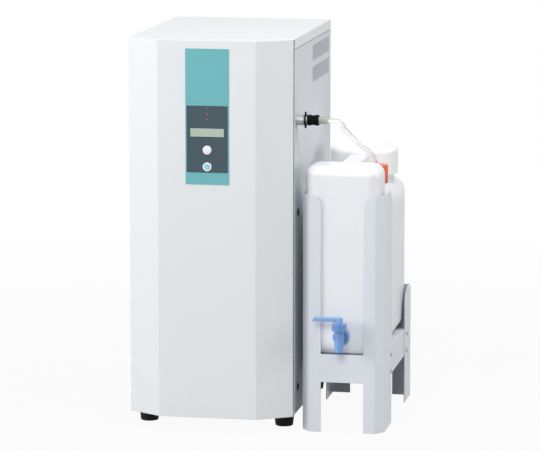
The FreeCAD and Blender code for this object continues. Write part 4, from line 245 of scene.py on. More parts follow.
class Graph:
    """The node graph of one material or of the world, built from plain calls."""

    ray_samples: ClassVar[int] = 6
    edge_range: ClassVar[Pair] = (0.02, 0.25)
    seam_shade_range: ClassVar[Pair] = (0.5, 0.9)

    def __init__(self, holder: bpy.types.Material | bpy.types.World) -> None:
        """Start with no nodes.

        Args:
            holder: The material or the world that the nodes belong to.
        """
        holder.use_nodes = True
        self.tree = holder.node_tree
        self.tree.nodes.clear()

    def add(self, kind: str, settings: Settings = None, sockets: Sockets = None) -> bpy.types.Node:
        """Add any node.

        Args:
            kind: The node's type.
            settings: The node's own settings, set first.
            sockets: A value or a wire for each input, by name or number.

        Returns:
            The node.
        """
        made = self.tree.nodes.new(kind)
        for key, value in (settings or {}).items():
            setattr(made, key, value)
        for key, value in (sockets or {}).items():
            self._feed(made.inputs[key], value)
        return made

    def node(self, kind: str, settings: Settings = None, sockets: Sockets = None,
             output: int | str = 0) -> Wire:
        """Add any node and take one of its outputs.

        Args:
            kind: The node's type.
            settings: The node's own settings.
            sockets: A value or a wire for each input, by name or number.
            output: The name or number of the output that is wanted.

        Returns:
            The wire of that output.
        """
        return Wire(self, self.add(kind, settings, sockets).outputs[output])

    def _feed(self, target: bpy.types.NodeSocket, value: Input) -> None:
        """Link a wire to an input, or set its value.

        Args:
            target: The input.
            value: A wire, a number, or a colour or vector.
        """
        if isinstance(value, Wire):
            self.tree.links.new(value.socket, target)
        elif isinstance(value, (int, float)):
            target.default_value = value
        else:
            size = len(target.default_value)
            target.default_value = (*value, 1.0)[:size]

    def math(self, operation: str, first: Input, second: Input) -> Wire:
        """Work out one sum on values.

        Args:
            operation: The Math node's operation.
            first: The first value or wire.
            second: The second value or wire.

        Returns:
            The result.
        """
        return self.node("ShaderNodeMath", {"operation": operation}, {0: first, 1: second})

    def vector(self, operation: str, first: Input, second: Input) -> Wire:
        """Work out one sum on vectors.

        Args:
            operation: The Vector Math node's operation.
            first: The first vector or wire.
            second: The second vector or wire.

        Returns:
            The result, which is a value for a dot product and otherwise a vector.
        """
        output = "Value" if operation == "DOT_PRODUCT" else "Vector"
        return self.node("ShaderNodeVectorMath", {"operation": operation}, {0: first, 1: second}, output)

    def mix(self, share: Input, first: Input, second: Input) -> Wire:
        """Mix two colours.

        Args:
            share: 0 for the first colour, 1 for the second.
            first: The first colour or wire.
            second: The second colour or wire.

        Returns:
            The mixed colour.
        """
        return self.node("ShaderNodeMix", {"data_type": "RGBA"}, {0: share, 6: first, 7: second}, 2)

    def place(self) -> Wire:
        """Give the point on the object, in metres of the row frame."""
        return self.node("ShaderNodeTexCoord", output="Object")

    def parts(self) -> tuple[Wire, Wire, Wire]:
        """Split the point on the object.

        Returns:
            Its X, Y and Z.
        """
        split = self.add("ShaderNodeSeparateXYZ", None, {0: self.place()})
        return tuple(Wire(self, split.outputs[i]) for i in range(3))

    def noise(self, mottle: Mottle, stretch: Point = (1.0, 1.0, 1.0)) -> Wire:
        """Add a soft random pattern.

        Args:
            mottle: The pattern.
            stretch: How much finer the pattern is along X, Y and Z.

        Returns:
            A value around a half.
        """
        point = self.vector("MULTIPLY", self.place(), stretch)
        sockets = {"Vector": point, "Scale": mottle.scale, "Detail": mottle.detail}
        return self.node("ShaderNodeTexNoise", None, sockets)

    def spangle(self, scale: float) -> Wire:
        """Add crystals of random brightness.

        Args:
            scale: How many crystals there are in a metre.

        Returns:
            One value for each crystal, from 0 to 1.
        """
        cells = self.node("ShaderNodeTexVoronoi", None, {"Vector": self.place(), "Scale": scale}, "Color")
        return self.node("ShaderNodeSeparateColor", None, {0: cells})

    def rounded(self, radius: float) -> Wire:
        """Soften the shading of sharp edges.

        Args:
            radius: How far from an edge the softening reaches.

        Returns:
            The softened normal.
        """
        return self.node("ShaderNodeBevel", {"samples": self.ray_samples}, {"Radius": radius})

    def edges(self, radius: float) -> Wire:
        """Find the line along sharp edges: finishes lighten it as wear, and the slotted panels darken it as
        painted shade.

        Args:
            radius: How wide the line is.

        Returns:
            1 on the edge, fading to 0 beside it.
        """
        normal = self.node("ShaderNodeNewGeometry", output="Normal")
        alike = self.vector("DOT_PRODUCT", self.rounded(radius), normal)
        return (1.0 - alike).ranged(*self.edge_range)

    def seam_shade(self, reach: float) -> Wire:
        """Find the narrow gaps between pieces, where the finishes paint shade.

        Args:
            reach: How near the pieces have to be.

        Returns:
            1 deep in a gap, fading to 0 on open faces.
        """
        settings = {"samples": self.ray_samples}
        # painted shade: ambient occlusion over a short reach finds the gaps that the finishes darken
        light = self.node("ShaderNodeAmbientOcclusion", settings, {"Distance": reach}, "AO")
        return (1.0 - light).ranged(*self.seam_shade_range)

    def seen(self) -> Wire:
        """Find the rays that look at the background.

        Returns:
            1 for rays from the camera, or through gloss or glass, and otherwise 0.
        """
        path = self.add("ShaderNodeLightPath")
        mask = Wire(self, path.outputs["Is Camera Ray"])
        for name in ("Is Glossy Ray", "Is Transmission Ray"):
            mask = self.math("MAXIMUM", mask, Wire(self, path.outputs[name]))
        return mask

    def bump(self, height: Wire, strength: float, depth: float, normal: Wire | None = None) -> Wire:
        """Turn a height into a normal.

        Args:
            height: The height from 0 to 1.
            strength: How strongly it shows.
            depth: The real height of 1.
            normal: The normal that it starts from, if not the surface's own.

        Returns:
            The bumped normal.
        """
        sockets = {"Height": height, "Strength": strength, "Distance": depth}
        if normal is not None:
            sockets["Normal"] = normal
        return self.node("ShaderNodeBump", None, sockets)

    def relief(self, relief: Relief, normal: Wire | None = None) -> Wire:
        """Let a soft random pattern stand out of the surface.

        Args:
            relief: The pattern.
            normal: The normal that it starts from, if not the surface's own.

        Returns:
            The bumped normal.
        """
        return self.bump(self.noise(relief), relief.strength, relief.depth, normal)

    def close(self, shader: Wire, output: str = "ShaderNodeOutputMaterial") -> None:
        """Give the graph its output.

        Args:
            shader: The finished shader.
            output: The output node's type.
        """
        self.add(output, None, {"Surface": shader})

    def surface(self, sockets: dict[str, Input]) -> None:
        """Finish the material with one Principled shader.

        Args:
            sockets: The shader's inputs by name.
        """
        self.close(self.node("ShaderNodeBsdfPrincipled", None, sockets))


@dataclass(frozen=True)
class Finish:
    """What a surface is made of. Each kind paints its own graph."""

    name: str
    colour: Colour

    def paint(self, graph: Graph) -> None:
        """Build the finish's nodes.

        Args:
            graph: The empty graph of its material.
        """
        raise NotImplementedError

    def between(self, graph: Graph, mask: Wire, tones: Pair) -> Wire:
        """Vary the finish's colour between two tones of it.

        Args:
            graph: The graph of its material.
            mask: 0 for the first tone, 1 for the second.
            tones: What the colour is multiplied by for each tone.

        Returns:
            The varied colour.
        """
        return graph.mix(mask, shade(self.colour, tones[0]), shade(self.colour, tones[1]))

    def over(self, graph: Graph, below: Input, mask: Wire, layer: Layer) -> Wire:
        """Lay a thin layer over a colour.

        Args:
            graph: The graph of its material.
            below: The colour below.
            mask: 1 where the layer shows most, and 0 where it doesn't.
            layer: The layer.

        Returns:
            The covered colour.
        """
        return graph.mix(mask * layer.share, below, shade(self.colour, layer.tone))


@dataclass(frozen=True)
class PaintedSheet(Finish):
    """Powder-coated sheet: orange peel, faint patches, slightly rubbed edges and painted shade in its gaps.
    """

    roughness: float = 0.40
    sheen: float = 0.45
    patches: Mottle = Mottle(3.0)
    patch_tones: Pair = (0.975, 1.02)
    specks: Mottle = Mottle(700.0)
    speck_range: Pair = (0.66, 0.8)
    speck_layer: Layer = Layer(0.25, 0.82)
    edge_radius: float = 0.0012
    # the edge layer lightens rubbed edges as wear; with a dark tone it paints shade into the edges instead
    edge_layer: Layer = Layer(0.35, 1.06)
    edge_polish: float = 0.08
    seam_shade_reach: float = 0.003
    seam_shade_layer: Layer = Layer(0.75, 0.12)
    smears: Mottle = Mottle(40.0, 4.0)
    smear_depth: float = 0.12
    peel: Relief = Relief(420.0, 1.0, 0.22, 0.00025)

    def paint(self, graph: Graph) -> None:
        """Build the coat, its peel and its edges.

        Args:
            graph: The empty graph of its material.
        """
        specks = graph.noise(self.specks).ranged(*self.speck_range)
        edge_mask = graph.edges(self.edge_radius)
        tone = self.between(graph, graph.noise(self.patches), self.patch_tones)
        tone = self.over(graph, tone, specks, self.speck_layer)
        tone = self.over(graph, tone, edge_mask, self.edge_layer)
        # painted shade: the coat darkens in the narrow gaps between pieces
        tone = self.over(graph, tone, graph.seam_shade(self.seam_shade_reach), self.seam_shade_layer)
        smears = (graph.noise(self.smears) - 0.5) * self.smear_depth
        rough = self.roughness + smears - edge_mask * self.edge_polish
        normal = graph.relief(self.peel, graph.rounded(self.edge_radius))
        graph.surface({"Base Color": tone, "Roughness": rough, "Normal": normal,
                       "Specular IOR Level": self.sheen})


@dataclass(frozen=True)
class PrintedPlate(Finish):
    """A printed, laminated panel: an even ink under a fine satin texture."""

    roughness: float = 0.42
    patches: Mottle = Mottle(14.0)
    patch_tones: Pair = (0.965, 1.03)
    edge_width: float = 0.0004
    edge_layer: Layer = Layer(0.5, 1.25)
    edge_radius: float = 0.0003
    smears: Mottle = Mottle(60.0, 3.0)
    smear_depth: float = 0.1
    film: Relief = Relief(2200.0, 1.0, 0.12, 0.00008)

    def paint(self, graph: Graph) -> None:
        """Build the ink and the film's texture.

        Args:
            graph: The empty graph of its material.
        """
        tone = self.between(graph, graph.noise(self.patches), self.patch_tones)
        tone = self.over(graph, tone, graph.edges(self.edge_width), self.edge_layer)
        rough = self.roughness + (graph.noise(self.smears) - 0.5) * self.smear_depth
        normal = graph.relief(self.film, graph.rounded(self.edge_radius))
        graph.surface({"Base Color": tone, "Roughness": rough, "Normal": normal})


@dataclass(frozen=True)
class GalvanisedSheet(Finish):
    """Zinc-coated steel sheet with its crystals, dull patches and painted shade in its gaps."""

    roughness: float = 0.34
    metallic: float = 0.85
    crystal_scale: float = 130.0
    crystal_tones: Pair = (0.82, 1.12)
    crystal_depth: float = 0.22
    dull_spots: Mottle = Mottle(18.0, 3.0)
    dull_range: Pair = (0.4, 0.8)
    dull_layer: Layer = Layer(0.3, 0.75)
    seam_shade_reach: float = 0.003
    seam_shade_layer: Layer = Layer(0.95, 0.06)
    edge_radius: float = 0.0008
    skin: Relief = Relief(900.0)

    def paint(self, graph: Graph) -> None:
        """Build the zinc crystals and their sheen.

        Args:
            graph: The empty graph of its material.
        """
        crystals = graph.spangle(self.crystal_scale)
        dull = graph.noise(self.dull_spots).ranged(*self.dull_range)
        tone = self.between(graph, crystals, self.crystal_tones)
        tone = self.over(graph, tone, dull, self.dull_layer)
        # painted shade: the zinc goes nearly black in the narrow gaps between pieces, such as the door's seam
        tone = self.over(graph, tone, graph.seam_shade(self.seam_shade_reach), self.seam_shade_layer)
        rough = self.roughness + crystals * self.crystal_depth
        normal = graph.relief(self.skin, graph.rounded(self.edge_radius))
        graph.surface({"Base Color": tone, "Roughness": rough, "Metallic": self.metallic, "Normal": normal})


@dataclass(frozen=True)
class BrushedMetal(Finish):
    """Metal with a drawn or turned grain along one direction."""

    grain: Axis = Axis.Z
    roughness: float = 0.3
    metallic: float = 1.0
    grain_stretch: float = 0.03
    scratches: Relief = Relief(2600.0, 3.0, 0.15, 0.00006)
    scratch_tones: Pair = (0.84, 1.1)
    scratch_depth: float = 0.25
    smears: Mottle = Mottle(12.0)
    smear_range: Pair = (0.45, 0.75)
    smear_layer: Layer = Layer(0.25, 0.8)
    smear_depth: float = 0.1
    edge_radius: float = 0.0004

    def paint(self, graph: Graph) -> None:
        """Build the long fine scratches.

        Args:
            graph: The empty graph of its material.
        """
        scratches = graph.noise(self.scratches, self.grain.drawn_out(self.grain_stretch))
        smears = graph.noise(self.smears)
        tone = self.between(graph, scratches, self.scratch_tones)
        tone = self.over(graph, tone, smears.ranged(*self.smear_range), self.smear_layer)
        rough = self.roughness + (scratches - 0.5) * self.scratch_depth + (smears - 0.5) * self.smear_depth
        normal = graph.bump(scratches, self.scratches.strength, self.scratches.depth,
                            graph.rounded(self.edge_radius))
        graph.surface({"Base Color": tone, "Roughness": rough, "Metallic": self.metallic, "Normal": normal})


@dataclass(frozen=True)
class CastMetal(Finish):
    """Cast and machined brass with a dull skin."""

    roughness: float = 0.36
    metallic: float = 0.95
    tarnish: Mottle = Mottle(55.0, 5.0)
    tarnish_range: Pair = (0.42, 0.72)
    tarnish_layer: Layer = Layer(0.6, 0.55)
    tarnish_depth: float = 0.2
    edge_radius: float = 0.0005
    skin: Relief = Relief(1100.0, 3.0, 0.22, 0.00015)

    def paint(self, graph: Graph) -> None:
        """Build the casting's skin and tarnish.

        Args:
            graph: The empty graph of its material.
        """
        tarnish = graph.noise(self.tarnish).ranged(*self.tarnish_range)
        tone = self.over(graph, self.colour, tarnish, self.tarnish_layer)
        rough = self.roughness + tarnish * self.tarnish_depth
        normal = graph.relief(self.skin, graph.rounded(self.edge_radius))
        graph.surface({"Base Color": tone, "Roughness": rough, "Metallic": self.metallic, "Normal": normal})


@dataclass(frozen=True)
class MouldedPlastic(Finish):
    """An injection-moulded plastic with a fine grain and slightly polished edges."""

    roughness: float = 0.38
    coat: float = 0.0
    coat_roughness: float = 0.15
    sheen: float = 0.5
    flow: Mottle = Mottle(22.0)
    flow_tones: Pair = (0.95, 1.05)
    flow_depth: float = 0.1
    edge_width: float = 0.0006
    edge_layer: Layer = Layer(0.4, 1.2)
    edge_polish: float = 0.08
    edge_radius: float = 0.0005
    grain: Relief = Relief(1500.0, 1.0, 0.1, 0.00012)

    def paint(self, graph: Graph) -> None:
        """Build the mould's grain and the faint flow marks.

        Args:
            graph: The empty graph of its material.
        """
        flow = graph.noise(self.flow)
        edge_mask = graph.edges(self.edge_width)
        tone = self.between(graph, flow, self.flow_tones)
        tone = self.over(graph, tone, edge_mask, self.edge_layer)
        rough = self.roughness + (flow - 0.5) * self.flow_depth - edge_mask * self.edge_polish
        normal = graph.relief(self.grain, graph.rounded(self.edge_radius))
        graph.surface({"Base Color": tone, "Roughness": rough, "Normal": normal, "Coat Weight": self.coat,
                       "Coat Roughness": self.coat_roughness, "Specular IOR Level": self.sheen})


@dataclass(frozen=True)
class MilkyPlastic(Finish):
    """Blow-moulded polyethylene: waxy, a little translucent and slightly uneven."""

    roughness: float = 0.40
    patches: Mottle = Mottle(7.0)
    patch_tones: Pair = (0.965, 1.02)
    smears: Mottle = Mottle(35.0, 3.0)
    smear_depth: float = 0.12
    skin: Relief = Relief(900.0, 2.0, 0.12, 0.00012)
    waves: Relief = Relief(18.0, 1.0, 0.25, 0.0004)
    glow: float = 0.25
    glow_reach: Point = (0.012, 0.012, 0.014)
    glow_scale: float = 0.5

    def paint(self, graph: Graph) -> None:
        """Build the waxy skin with its blown unevenness.

        Args:
            graph: The empty graph of its material.
        """
        tone = self.between(graph, graph.noise(self.patches), self.patch_tones)
        rough = self.roughness + (graph.noise(self.smears) - 0.5) * self.smear_depth
        normal = graph.relief(self.waves, graph.relief(self.skin))
        graph.surface({"Base Color": tone, "Roughness": rough, "Normal": normal,
                       "Subsurface Weight": self.glow, "Subsurface Radius": self.glow_reach,
                       "Subsurface Scale": self.glow_scale})


@dataclass(frozen=True)
class ClearPlastic(Finish):
    """A clear or frosted plastic or silicone with faint drawn streaks."""

    roughness: float
    clearness: float
    ior: float
    drawn: Axis
    streak_stretch: float = 0.08
    streaks: Relief = Relief(700.0)
    streak_tones: Pair = (0.93, 1.03)
    streak_depth: float = 0.1

    def paint(self, graph: Graph) -> None:
        """Build the clear body and its streaks.

        Args:
            graph: The empty graph of its material.
        """
        streaks = graph.noise(self.streaks, self.drawn.drawn_out(self.streak_stretch))
        tone = self.between(graph, streaks, self.streak_tones)
        rough = self.roughness + (streaks - 0.5) * self.streak_depth
        normal = graph.bump(streaks, self.streaks.strength, self.streaks.depth)
        graph.surface({"Base Color": tone, "Roughness": rough, "Normal": normal, "IOR": self.ior,
                       "Transmission Weight": self.clearness})


@dataclass(frozen=True)
class Rubber(Finish):
    """Dull rubber or foam with a dusty bloom."""

    roughness: float = 0.75
    sheen: float = 0.25
    bloom: Mottle = Mottle(45.0, 4.0)
    bloom_range: Pair = (0.5, 0.8)
    bloom_layer: Layer = Layer(0.35, 2.2)
    bloom_depth: float = 0.12
    edge_radius: float = 0.0008
    pores: Relief = Relief(1200.0, 2.0, 0.3, 0.0002)

    def paint(self, graph: Graph) -> None:
        """Build the pores and the bloom.

        Args:
            graph: The empty graph of its material.
        """
        bloom = graph.noise(self.bloom).ranged(*self.bloom_range)
        tone = self.over(graph, self.colour, bloom, self.bloom_layer)
        rough = self.roughness + bloom * self.bloom_depth
        normal = graph.relief(self.pores, graph.rounded(self.edge_radius))
        graph.surface({"Base Color": tone, "Roughness": rough, "Normal": normal,
                       "Specular IOR Level": self.sheen})


@dataclass(frozen=True)
class DisplayGlass(Finish):
    """An unlit liquid-crystal display under its window, with the faint cells of its two rows."""

    left: float
    foot: float
    cell_width: float
    cell_height: float
    cell_side_gap: float = 0.12
    cell_end_gap: float = 0.1
    cell_layer: Layer = Layer(0.25, 0.88)
    patches: Mottle = Mottle(60.0)
    patch_layer: Layer = Layer(0.3, 1.05)
    roughness: float = 0.2
    smears: Mottle = Mottle(90.0)
    smear_depth: float = 0.08
    coat: float = 0.5
    coat_roughness: float = 0.08
    edge_radius: float = 0.0002
    skin: Relief = Relief(300.0, 1.0, 0.03, 0.00005)

    def paint(self, graph: Graph) -> None:
        """Build the display's field and its empty cells.

        Args:
            graph: The empty graph of its material.
        """
        x, _, z = graph.parts()
        across = ((x - self.left) / self.cell_width).fraction()
        up = ((z - self.foot) / self.cell_height).fraction()
        inside = (across > self.cell_side_gap) * (across < 1.0 - self.cell_side_gap)
        cells = inside * (up > self.cell_end_gap) * (up < 1.0 - self.cell_end_gap)
        tone = self.over(graph, self.colour, cells, self.cell_layer)
        tone = self.over(graph, tone, graph.noise(self.patches), self.patch_layer)
        rough = self.roughness + (graph.noise(self.smears) - 0.5) * self.smear_depth
        normal = graph.relief(self.skin, graph.rounded(self.edge_radius))
        graph.surface({"Base Color": tone, "Roughness": rough, "Normal": normal, "Coat Weight": self.coat,
                       "Coat Roughness": self.coat_roughness})


@dataclass(frozen=True)
class LampRow(Finish):
    """Small moulded lamps in a column: the middle one's colour, and a tint for each of the others."""

    upper: Colour
    lower: Colour
    middle_height: float
    pitch: float
    dots: Mottle = Mottle(900.0)
    dot_share: float = 0.4
    dot_colour: Colour = (0.05, 0.05, 0.05)
    roughness: float = 0.25
    smears: Mottle = Mottle(300.0)
    smear_depth: float = 0.1
    coat: float = 0.6
    coat_roughness: float = 0.1

    def paint(self, graph: Graph) -> None:
        """Build the three tints and the lenses' dots.

        Args:
            graph: The empty graph of its material.
        """
        _, _, z = graph.parts()
        tone = graph.mix(z > self.middle_height + self.pitch / 2, self.colour, self.upper)
        tone = graph.mix(z < self.middle_height - self.pitch / 2, tone, self.lower)
        tone = graph.mix(graph.noise(self.dots) * self.dot_share, tone, self.dot_colour)
        rough = self.roughness + graph.noise(self.smears) * self.smear_depth
        graph.surface({"Base Color": tone, "Roughness": rough, "Coat Weight": self.coat,
                       "Coat Roughness": self.coat_roughness})


@dataclass(frozen=True)
class CircuitBoard(Finish):
    """A green board with raised tracks under its lacquer."""

    track_scale: float = 380.0
    track_range: Pair = (0.03, 0.08)
    track_tone: float = 2.0
    track_strength: float = 0.2
    track_depth: float = 0.00005
    patches: Mottle = Mottle(30.0)
    patch_layer: Layer = Layer(0.3, 0.8)
    roughness: float = 0.3
    smears: Mottle = Mottle(60.0)
    smear_depth: float = 0.1
    coat: float = 0.3

    def paint(self, graph: Graph) -> None:
        """Build the tracks and the lacquer.

        Args:
            graph: The empty graph of its material.
        """
        edge = graph.node("ShaderNodeTexVoronoi", {"feature": "DISTANCE_TO_EDGE"},
                          {"Vector": graph.place(), "Scale": self.track_scale}, "Distance")
        tracks = 1.0 - edge.ranged(*self.track_range)
        tone = graph.mix(tracks, self.colour, shade(self.colour, self.track_tone))
        tone = self.over(graph, tone, graph.noise(self.patches), self.patch_layer)
        rough = self.roughness + (graph.noise(self.smears) - 0.5) * self.smear_depth
        normal = graph.bump(tracks, self.track_strength, self.track_depth)
        graph.surface({"Base Color": tone, "Roughness": rough, "Normal": normal, "Coat Weight": self.coat})


@dataclass(frozen=True)
class PaleFloor(Finish):
    """A matt floor that keeps the object's shadow and is white to the eye, more so further off."""

    pale: Colour
    grain: Mottle = Mottle(6.0)
    white_share: float = 0.94
    fade_start: float = 0.7
    fade_end: float = 2.6

    def paint(self, graph: Graph) -> None:
        """Build the matt floor and what the eye sees of it.

        Args:
            graph: The empty graph of its material.
        """
        tone = graph.mix(graph.noise(self.grain), self.colour, self.pale)
        x, y, _ = graph.parts()
        away = (x * x + y * y) ** 0.5
        share = self.white_share + away.ranged(self.fade_start, self.fade_end) * (1.0 - self.white_share)
        matt = graph.node("ShaderNodeBsdfDiffuse", None, {"Color": tone})
        white = graph.node("ShaderNodeEmission", None, {"Color": WHITE, "Strength": 1.0})
        graph.close(graph.node("ShaderNodeMixShader", None, {0: graph.seen() * share, 1: matt, 2: white}))


KEY_GRAIN = Relief(900.0, 1.0, 0.03, 0.00012)
GLOSSY_GRAIN = Relief(1500.0, 1.0, 0.05, 0.00012)
HOUSING_GRAIN = Relief(1100.0, 1.0, 0.06, 0.00012)
SATIN_GRAIN = Relief(1500.0, 1.0, 0.08, 0.00012)
OPEN_PORES = Relief(700.0, 2.0, 0.3, 0.0002)
LOW_WAVES = Relief(18.0, 1.0, 0.25, 0.0002)
# A dark edge layer: painted shade along sharp edges, in the vent slots' walls and along the panel borders.
PAINTED_EDGE_SHADE = Layer(0.9, 0.45)

WHITE_PAINT = PaintedSheet("white_cabinet_paint", srgb(229, 232, 234))
# The slotted side panels paint shade into their edges and vent slots through the dark edge layer.
SLOTTED_PAINT = PaintedSheet("slotted_panel_paint", srgb(225, 229, 233), 0.5, 0.1, edge_layer=PAINTED_EDGE_SHADE)
RACK_PAINT = PaintedSheet("pale_rack_paint", srgb(223, 228, 235))
ZINC_SHEET = GalvanisedSheet("galvanised_sheet", srgb(196, 200, 203))
ZINC_SCREWS = BrushedMetal("zinc_fasteners", srgb(158, 160, 164), Axis.X, 0.45, 0.6)
HINGE_STEEL = BrushedMetal("hinge_steel", srgb(112, 114, 118), Axis.Z, 0.4)
STAINLESS = BrushedMetal("stainless_steel", srgb(206, 206, 204), Axis.Z, 0.26)
NICKEL = BrushedMetal("nickel_plate", srgb(180, 182, 184), Axis.X, 0.45, 0.6)
BRASS = CastMetal("cast_brass", srgb(205, 172, 96))
BLACK_PLASTIC = MouldedPlastic("black_plastic", srgb(7, 7, 8), 0.6, sheen=0.07)
BLACK_RUBBER = Rubber("black_rubber", srgb(8, 9, 9))
# A foam seal, whose dark tone also stands in for the shade of the door's seam where it shows through the gap.
SEAL_FOAM = Rubber("seal_foam", srgb(48, 49, 51), 0.9, pores=OPEN_PORES)
TEAL_PLATE = PrintedPlate("teal_plate", srgb(106, 179, 185))
SLATE_FILM = PrintedPlate("slate_film", srgb(54, 73, 81), 0.4)
RING_WHITE = MouldedPlastic("ring_white", srgb(246, 248, 250), 0.3, grain=GLOSSY_GRAIN)
WHITE_KEY = MouldedPlastic("white_key", srgb(238, 240, 247), 0.3, 0.2, grain=KEY_GRAIN)
BLUE_KEY = MouldedPlastic("pale_blue_key", srgb(149, 206, 236), 0.3, 0.2, grain=KEY_GRAIN)
GREY_COVER = MouldedPlastic("grey_cover", srgb(186, 189, 192), 0.45)
BOARD_GREEN = CircuitBoard("board_green", srgb(46, 112, 66))
FILTER_BLUE = ClearPlastic("filter_blue", srgb(60, 120, 190), 0.15, 0.35, 1.5, Axis.Z)
RESIN_WHITE = MouldedPlastic("resin_white", srgb(238, 238, 232), 0.32, grain=HOUSING_GRAIN)
FLOAT_RED = MouldedPlastic("float_red", srgb(205, 64, 48), 0.4)
HANDLE_RED = MouldedPlastic("handle_red", srgb(198, 40, 34), 0.3, 0.2, grain=GLOSSY_GRAIN)
CLEAR_ACRYLIC = ClearPlastic("clear_acrylic", srgb(238, 243, 244), 0.05, 0.85, 1.49, Axis.Z)
CLEAR_TUBE = ClearPlastic("clear_tube", srgb(228, 232, 232), 0.2, 0.4, 1.41, Axis.Y)
CLEAR_SLEEVE = ClearPlastic("clear_sleeve", srgb(214, 215, 208), 0.12, 0.45, 1.3, Axis.X)
CLEAR_HOSE = ClearPlastic("clear_hose", srgb(252, 253, 253), 0.1, 0.7, 1.2, Axis.X)
TANK_PLASTIC = MilkyPlastic("tank_plastic", srgb(243, 245, 251))
CAP_PLASTIC = MilkyPlastic("cap_plastic", srgb(252, 252, 252), 0.34, waves=LOW_WAVES)
NIPPLE_PLASTIC = MouldedPlastic("nipple_plastic", srgb(232, 234, 234), 0.3)
ORANGE_CAP = MouldedPlastic("orange_cap", srgb(234, 98, 54), 0.34, grain=SATIN_GRAIN)
TAP_BLUE = MouldedPlastic("tap_blue", srgb(108, 150, 208), 0.3, 0.15, grain=GLOSSY_GRAIN)
LEVER_BLUE = MouldedPlastic("lever_blue", srgb(132, 168, 216), 0.3, 0.15, grain=GLOSSY_GRAIN)
FLOOR = PaleFloor("pale_floor", (0.40, 0.40, 0.405), (0.43, 0.43, 0.43))


def add_object(name: str, data: bpy.types.ID) -> bpy.types.Object:
    """Add an object to the scene.

    Args:
        name: Its name.
        data: Its mesh, curve, lamp or camera.

    Returns:
        The object.
    """
    made = bpy.data.objects.new(name, data)
    bpy.context.scene.collection.objects.link(made)
    return made


@dataclass
class Workshop:
    """What every sub-assembly needs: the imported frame, and one material for each finish."""

    frame: dict
    materials: dict[str, bpy.types.Material] = field(default_factory=dict)

    def material(self, finish: Finish) -> bpy.types.Material:
        """Give a finish's material, built the first time.

        Args:
            finish: The finish.

        Returns:
            Its material.
        """
        if finish.name not in self.materials:
            material = bpy.data.materials.new(finish.name)
            finish.paint(Graph(material))
            self.materials[finish.name] = material
        return self.materials[finish.name]

    def dress(self, finish: Finish, *nodes: str) -> None:
        """Give CAD nodes a finish.

        Args:
            finish: The finish.
            *nodes: The nodes' names.
        """
        material = self.material(finish)
        for node in nodes:
            holder = self.frame["nodes"][node]
            if not holder.material_slots:
                holder.data.materials.append(material)
            for place in holder.material_slots:
                place.material = material
            LOG.info("dressed %s in %s", node, finish.name)

    def add_mesh(self, name: str, shape: Shape, finish: Finish) -> bpy.types.Object:
        """Turn a built shape into an object.

        Args:
            name: The object's name.
            shape: The shape, which is used up.
            finish: Its finish.

        Returns:
            The object.
        """
        mesh = bpy.data.meshes.new(name)
        shape.to_mesh(mesh)
        shape.free()
        mesh.materials.append(self.material(finish))
        return add_object(name, mesh)

    def mesh_piece(self, name: str, shape: Shape, finish: Finish, body: Body, slot: str) -> None:
        """Turn a built shape into a piece that rides on a body.

        Args:
            name: The piece's name.
            shape: The shape, which is used up.
            finish: Its finish.
            body: The body that it rides on.
            slot: The record's material slot; not used.
        """
        bmesh.ops.recalc_face_normals(shape, faces=shape.faces)
        piece = self.add_mesh(name, shape, finish)
        piece.data.shade_smooth()
        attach(piece, body.value)
        LOG.info("built %s on %s", name, body.value)


@dataclass(frozen=True)
class FoamStrip:
    """A straight strip of foam with a domed rear, stuck by its foot line on a face that looks to the rear."""

    start: Vector
    end: Vector
    width: float
    height: float
    wall_share: float = 0.6
    dome_steps: int = 6

    def section(self) -> list[Pair]:
        """Give the outline across the strip.

        Returns:
            How far to the side and how far to the rear each corner lies.
        """
        half = self.width / 2
        wall = self.height * self.wall_share
        corners = [(-half, 0.0), (half, 0.0), (half, wall)]
        for i in range(1, self.dome_steps):
            angle = math.pi * i / self.dome_steps
            corners.append((half * math.cos(angle), wall + (self.height - wall) * math.sin(angle)))
        corners.append((-half, wall))
        return corners

    def add_to(self, shape: Shape) -> None:
        """Add the strip to a shape.

        Args:
            shape: The shape that it is added to.
        """
        rear = Axis.Y.value
        across = (self.end - self.start).normalized().cross(rear)
        section = self.section()
        first, last = ([shape.verts.new(point + across * side + rear * back) for side, back in section]
                       for point in (self.start, self.end))
        shape.faces.new(first)
        shape.faces.new(list(reversed(last)))
        for i in range(len(section)):
            j = (i + 1) % len(section)
            shape.faces.new([first[i], first[j], last[j], last[i]])


@dataclass(frozen=True)
class RivetHead:
    """A low-domed rivet head."""

    radius: float = 0.0024
    height: float = 0.0011
    wall_share: float = 0.2
    dome_steps: int = 5
    sides: int = 24

    def outline(self) -> list[Pair]:
        """Give the outline that is turned round the axis.

        Returns:
            Radius and height of each corner, from the middle of the foot to the top of the dome.
        """
        wall = self.height * self.wall_share
        corners = [(0.0, 0.0), (self.radius, 0.0), (self.radius, wall)]
        for i in range(1, self.dome_steps):
            angle = math.pi / 2 * i / self.dome_steps
            corners.append((self.radius * math.cos(angle), wall + (self.height - wall) * math.sin(angle)))
        corners.append((0.0, self.height))
        return corners

    def add_to(self, shape: Shape, place: Matrix) -> None:
        """Add the rivet head to a shape.

        Args:
            shape: The shape that it is added to.
            place: Where the head goes, with its axis along the matrix's Z.
        """
        rings = []
        for radius, height in self.outline():
            count = 1 if radius == 0 else self.sides
            angles = [2 * math.pi * i / self.sides for i in range(count)]
            points = [(radius * math.cos(angle), radius * math.sin(angle), height) for angle in angles]
            rings.append([shape.verts.new(place @ Vector(point)) for point in points])
        for low, high in zip(rings, rings[1:]):
            for i in range(self.sides):
                j = (i + 1) % self.sides
                corners = [low[i % len(low)], low[j % len(low)], high[j % len(high)], high[i % len(high)]]
                unique = list(dict.fromkeys(corners))
                if len(unique) > 2:
                    shape.faces.new(unique)


@dataclass(frozen=True)
class Lamp:
    """One soft square lamp: where it hangs, its power in watts and the side of its square."""

    name: str
    place: Point
    power: float
    size: float


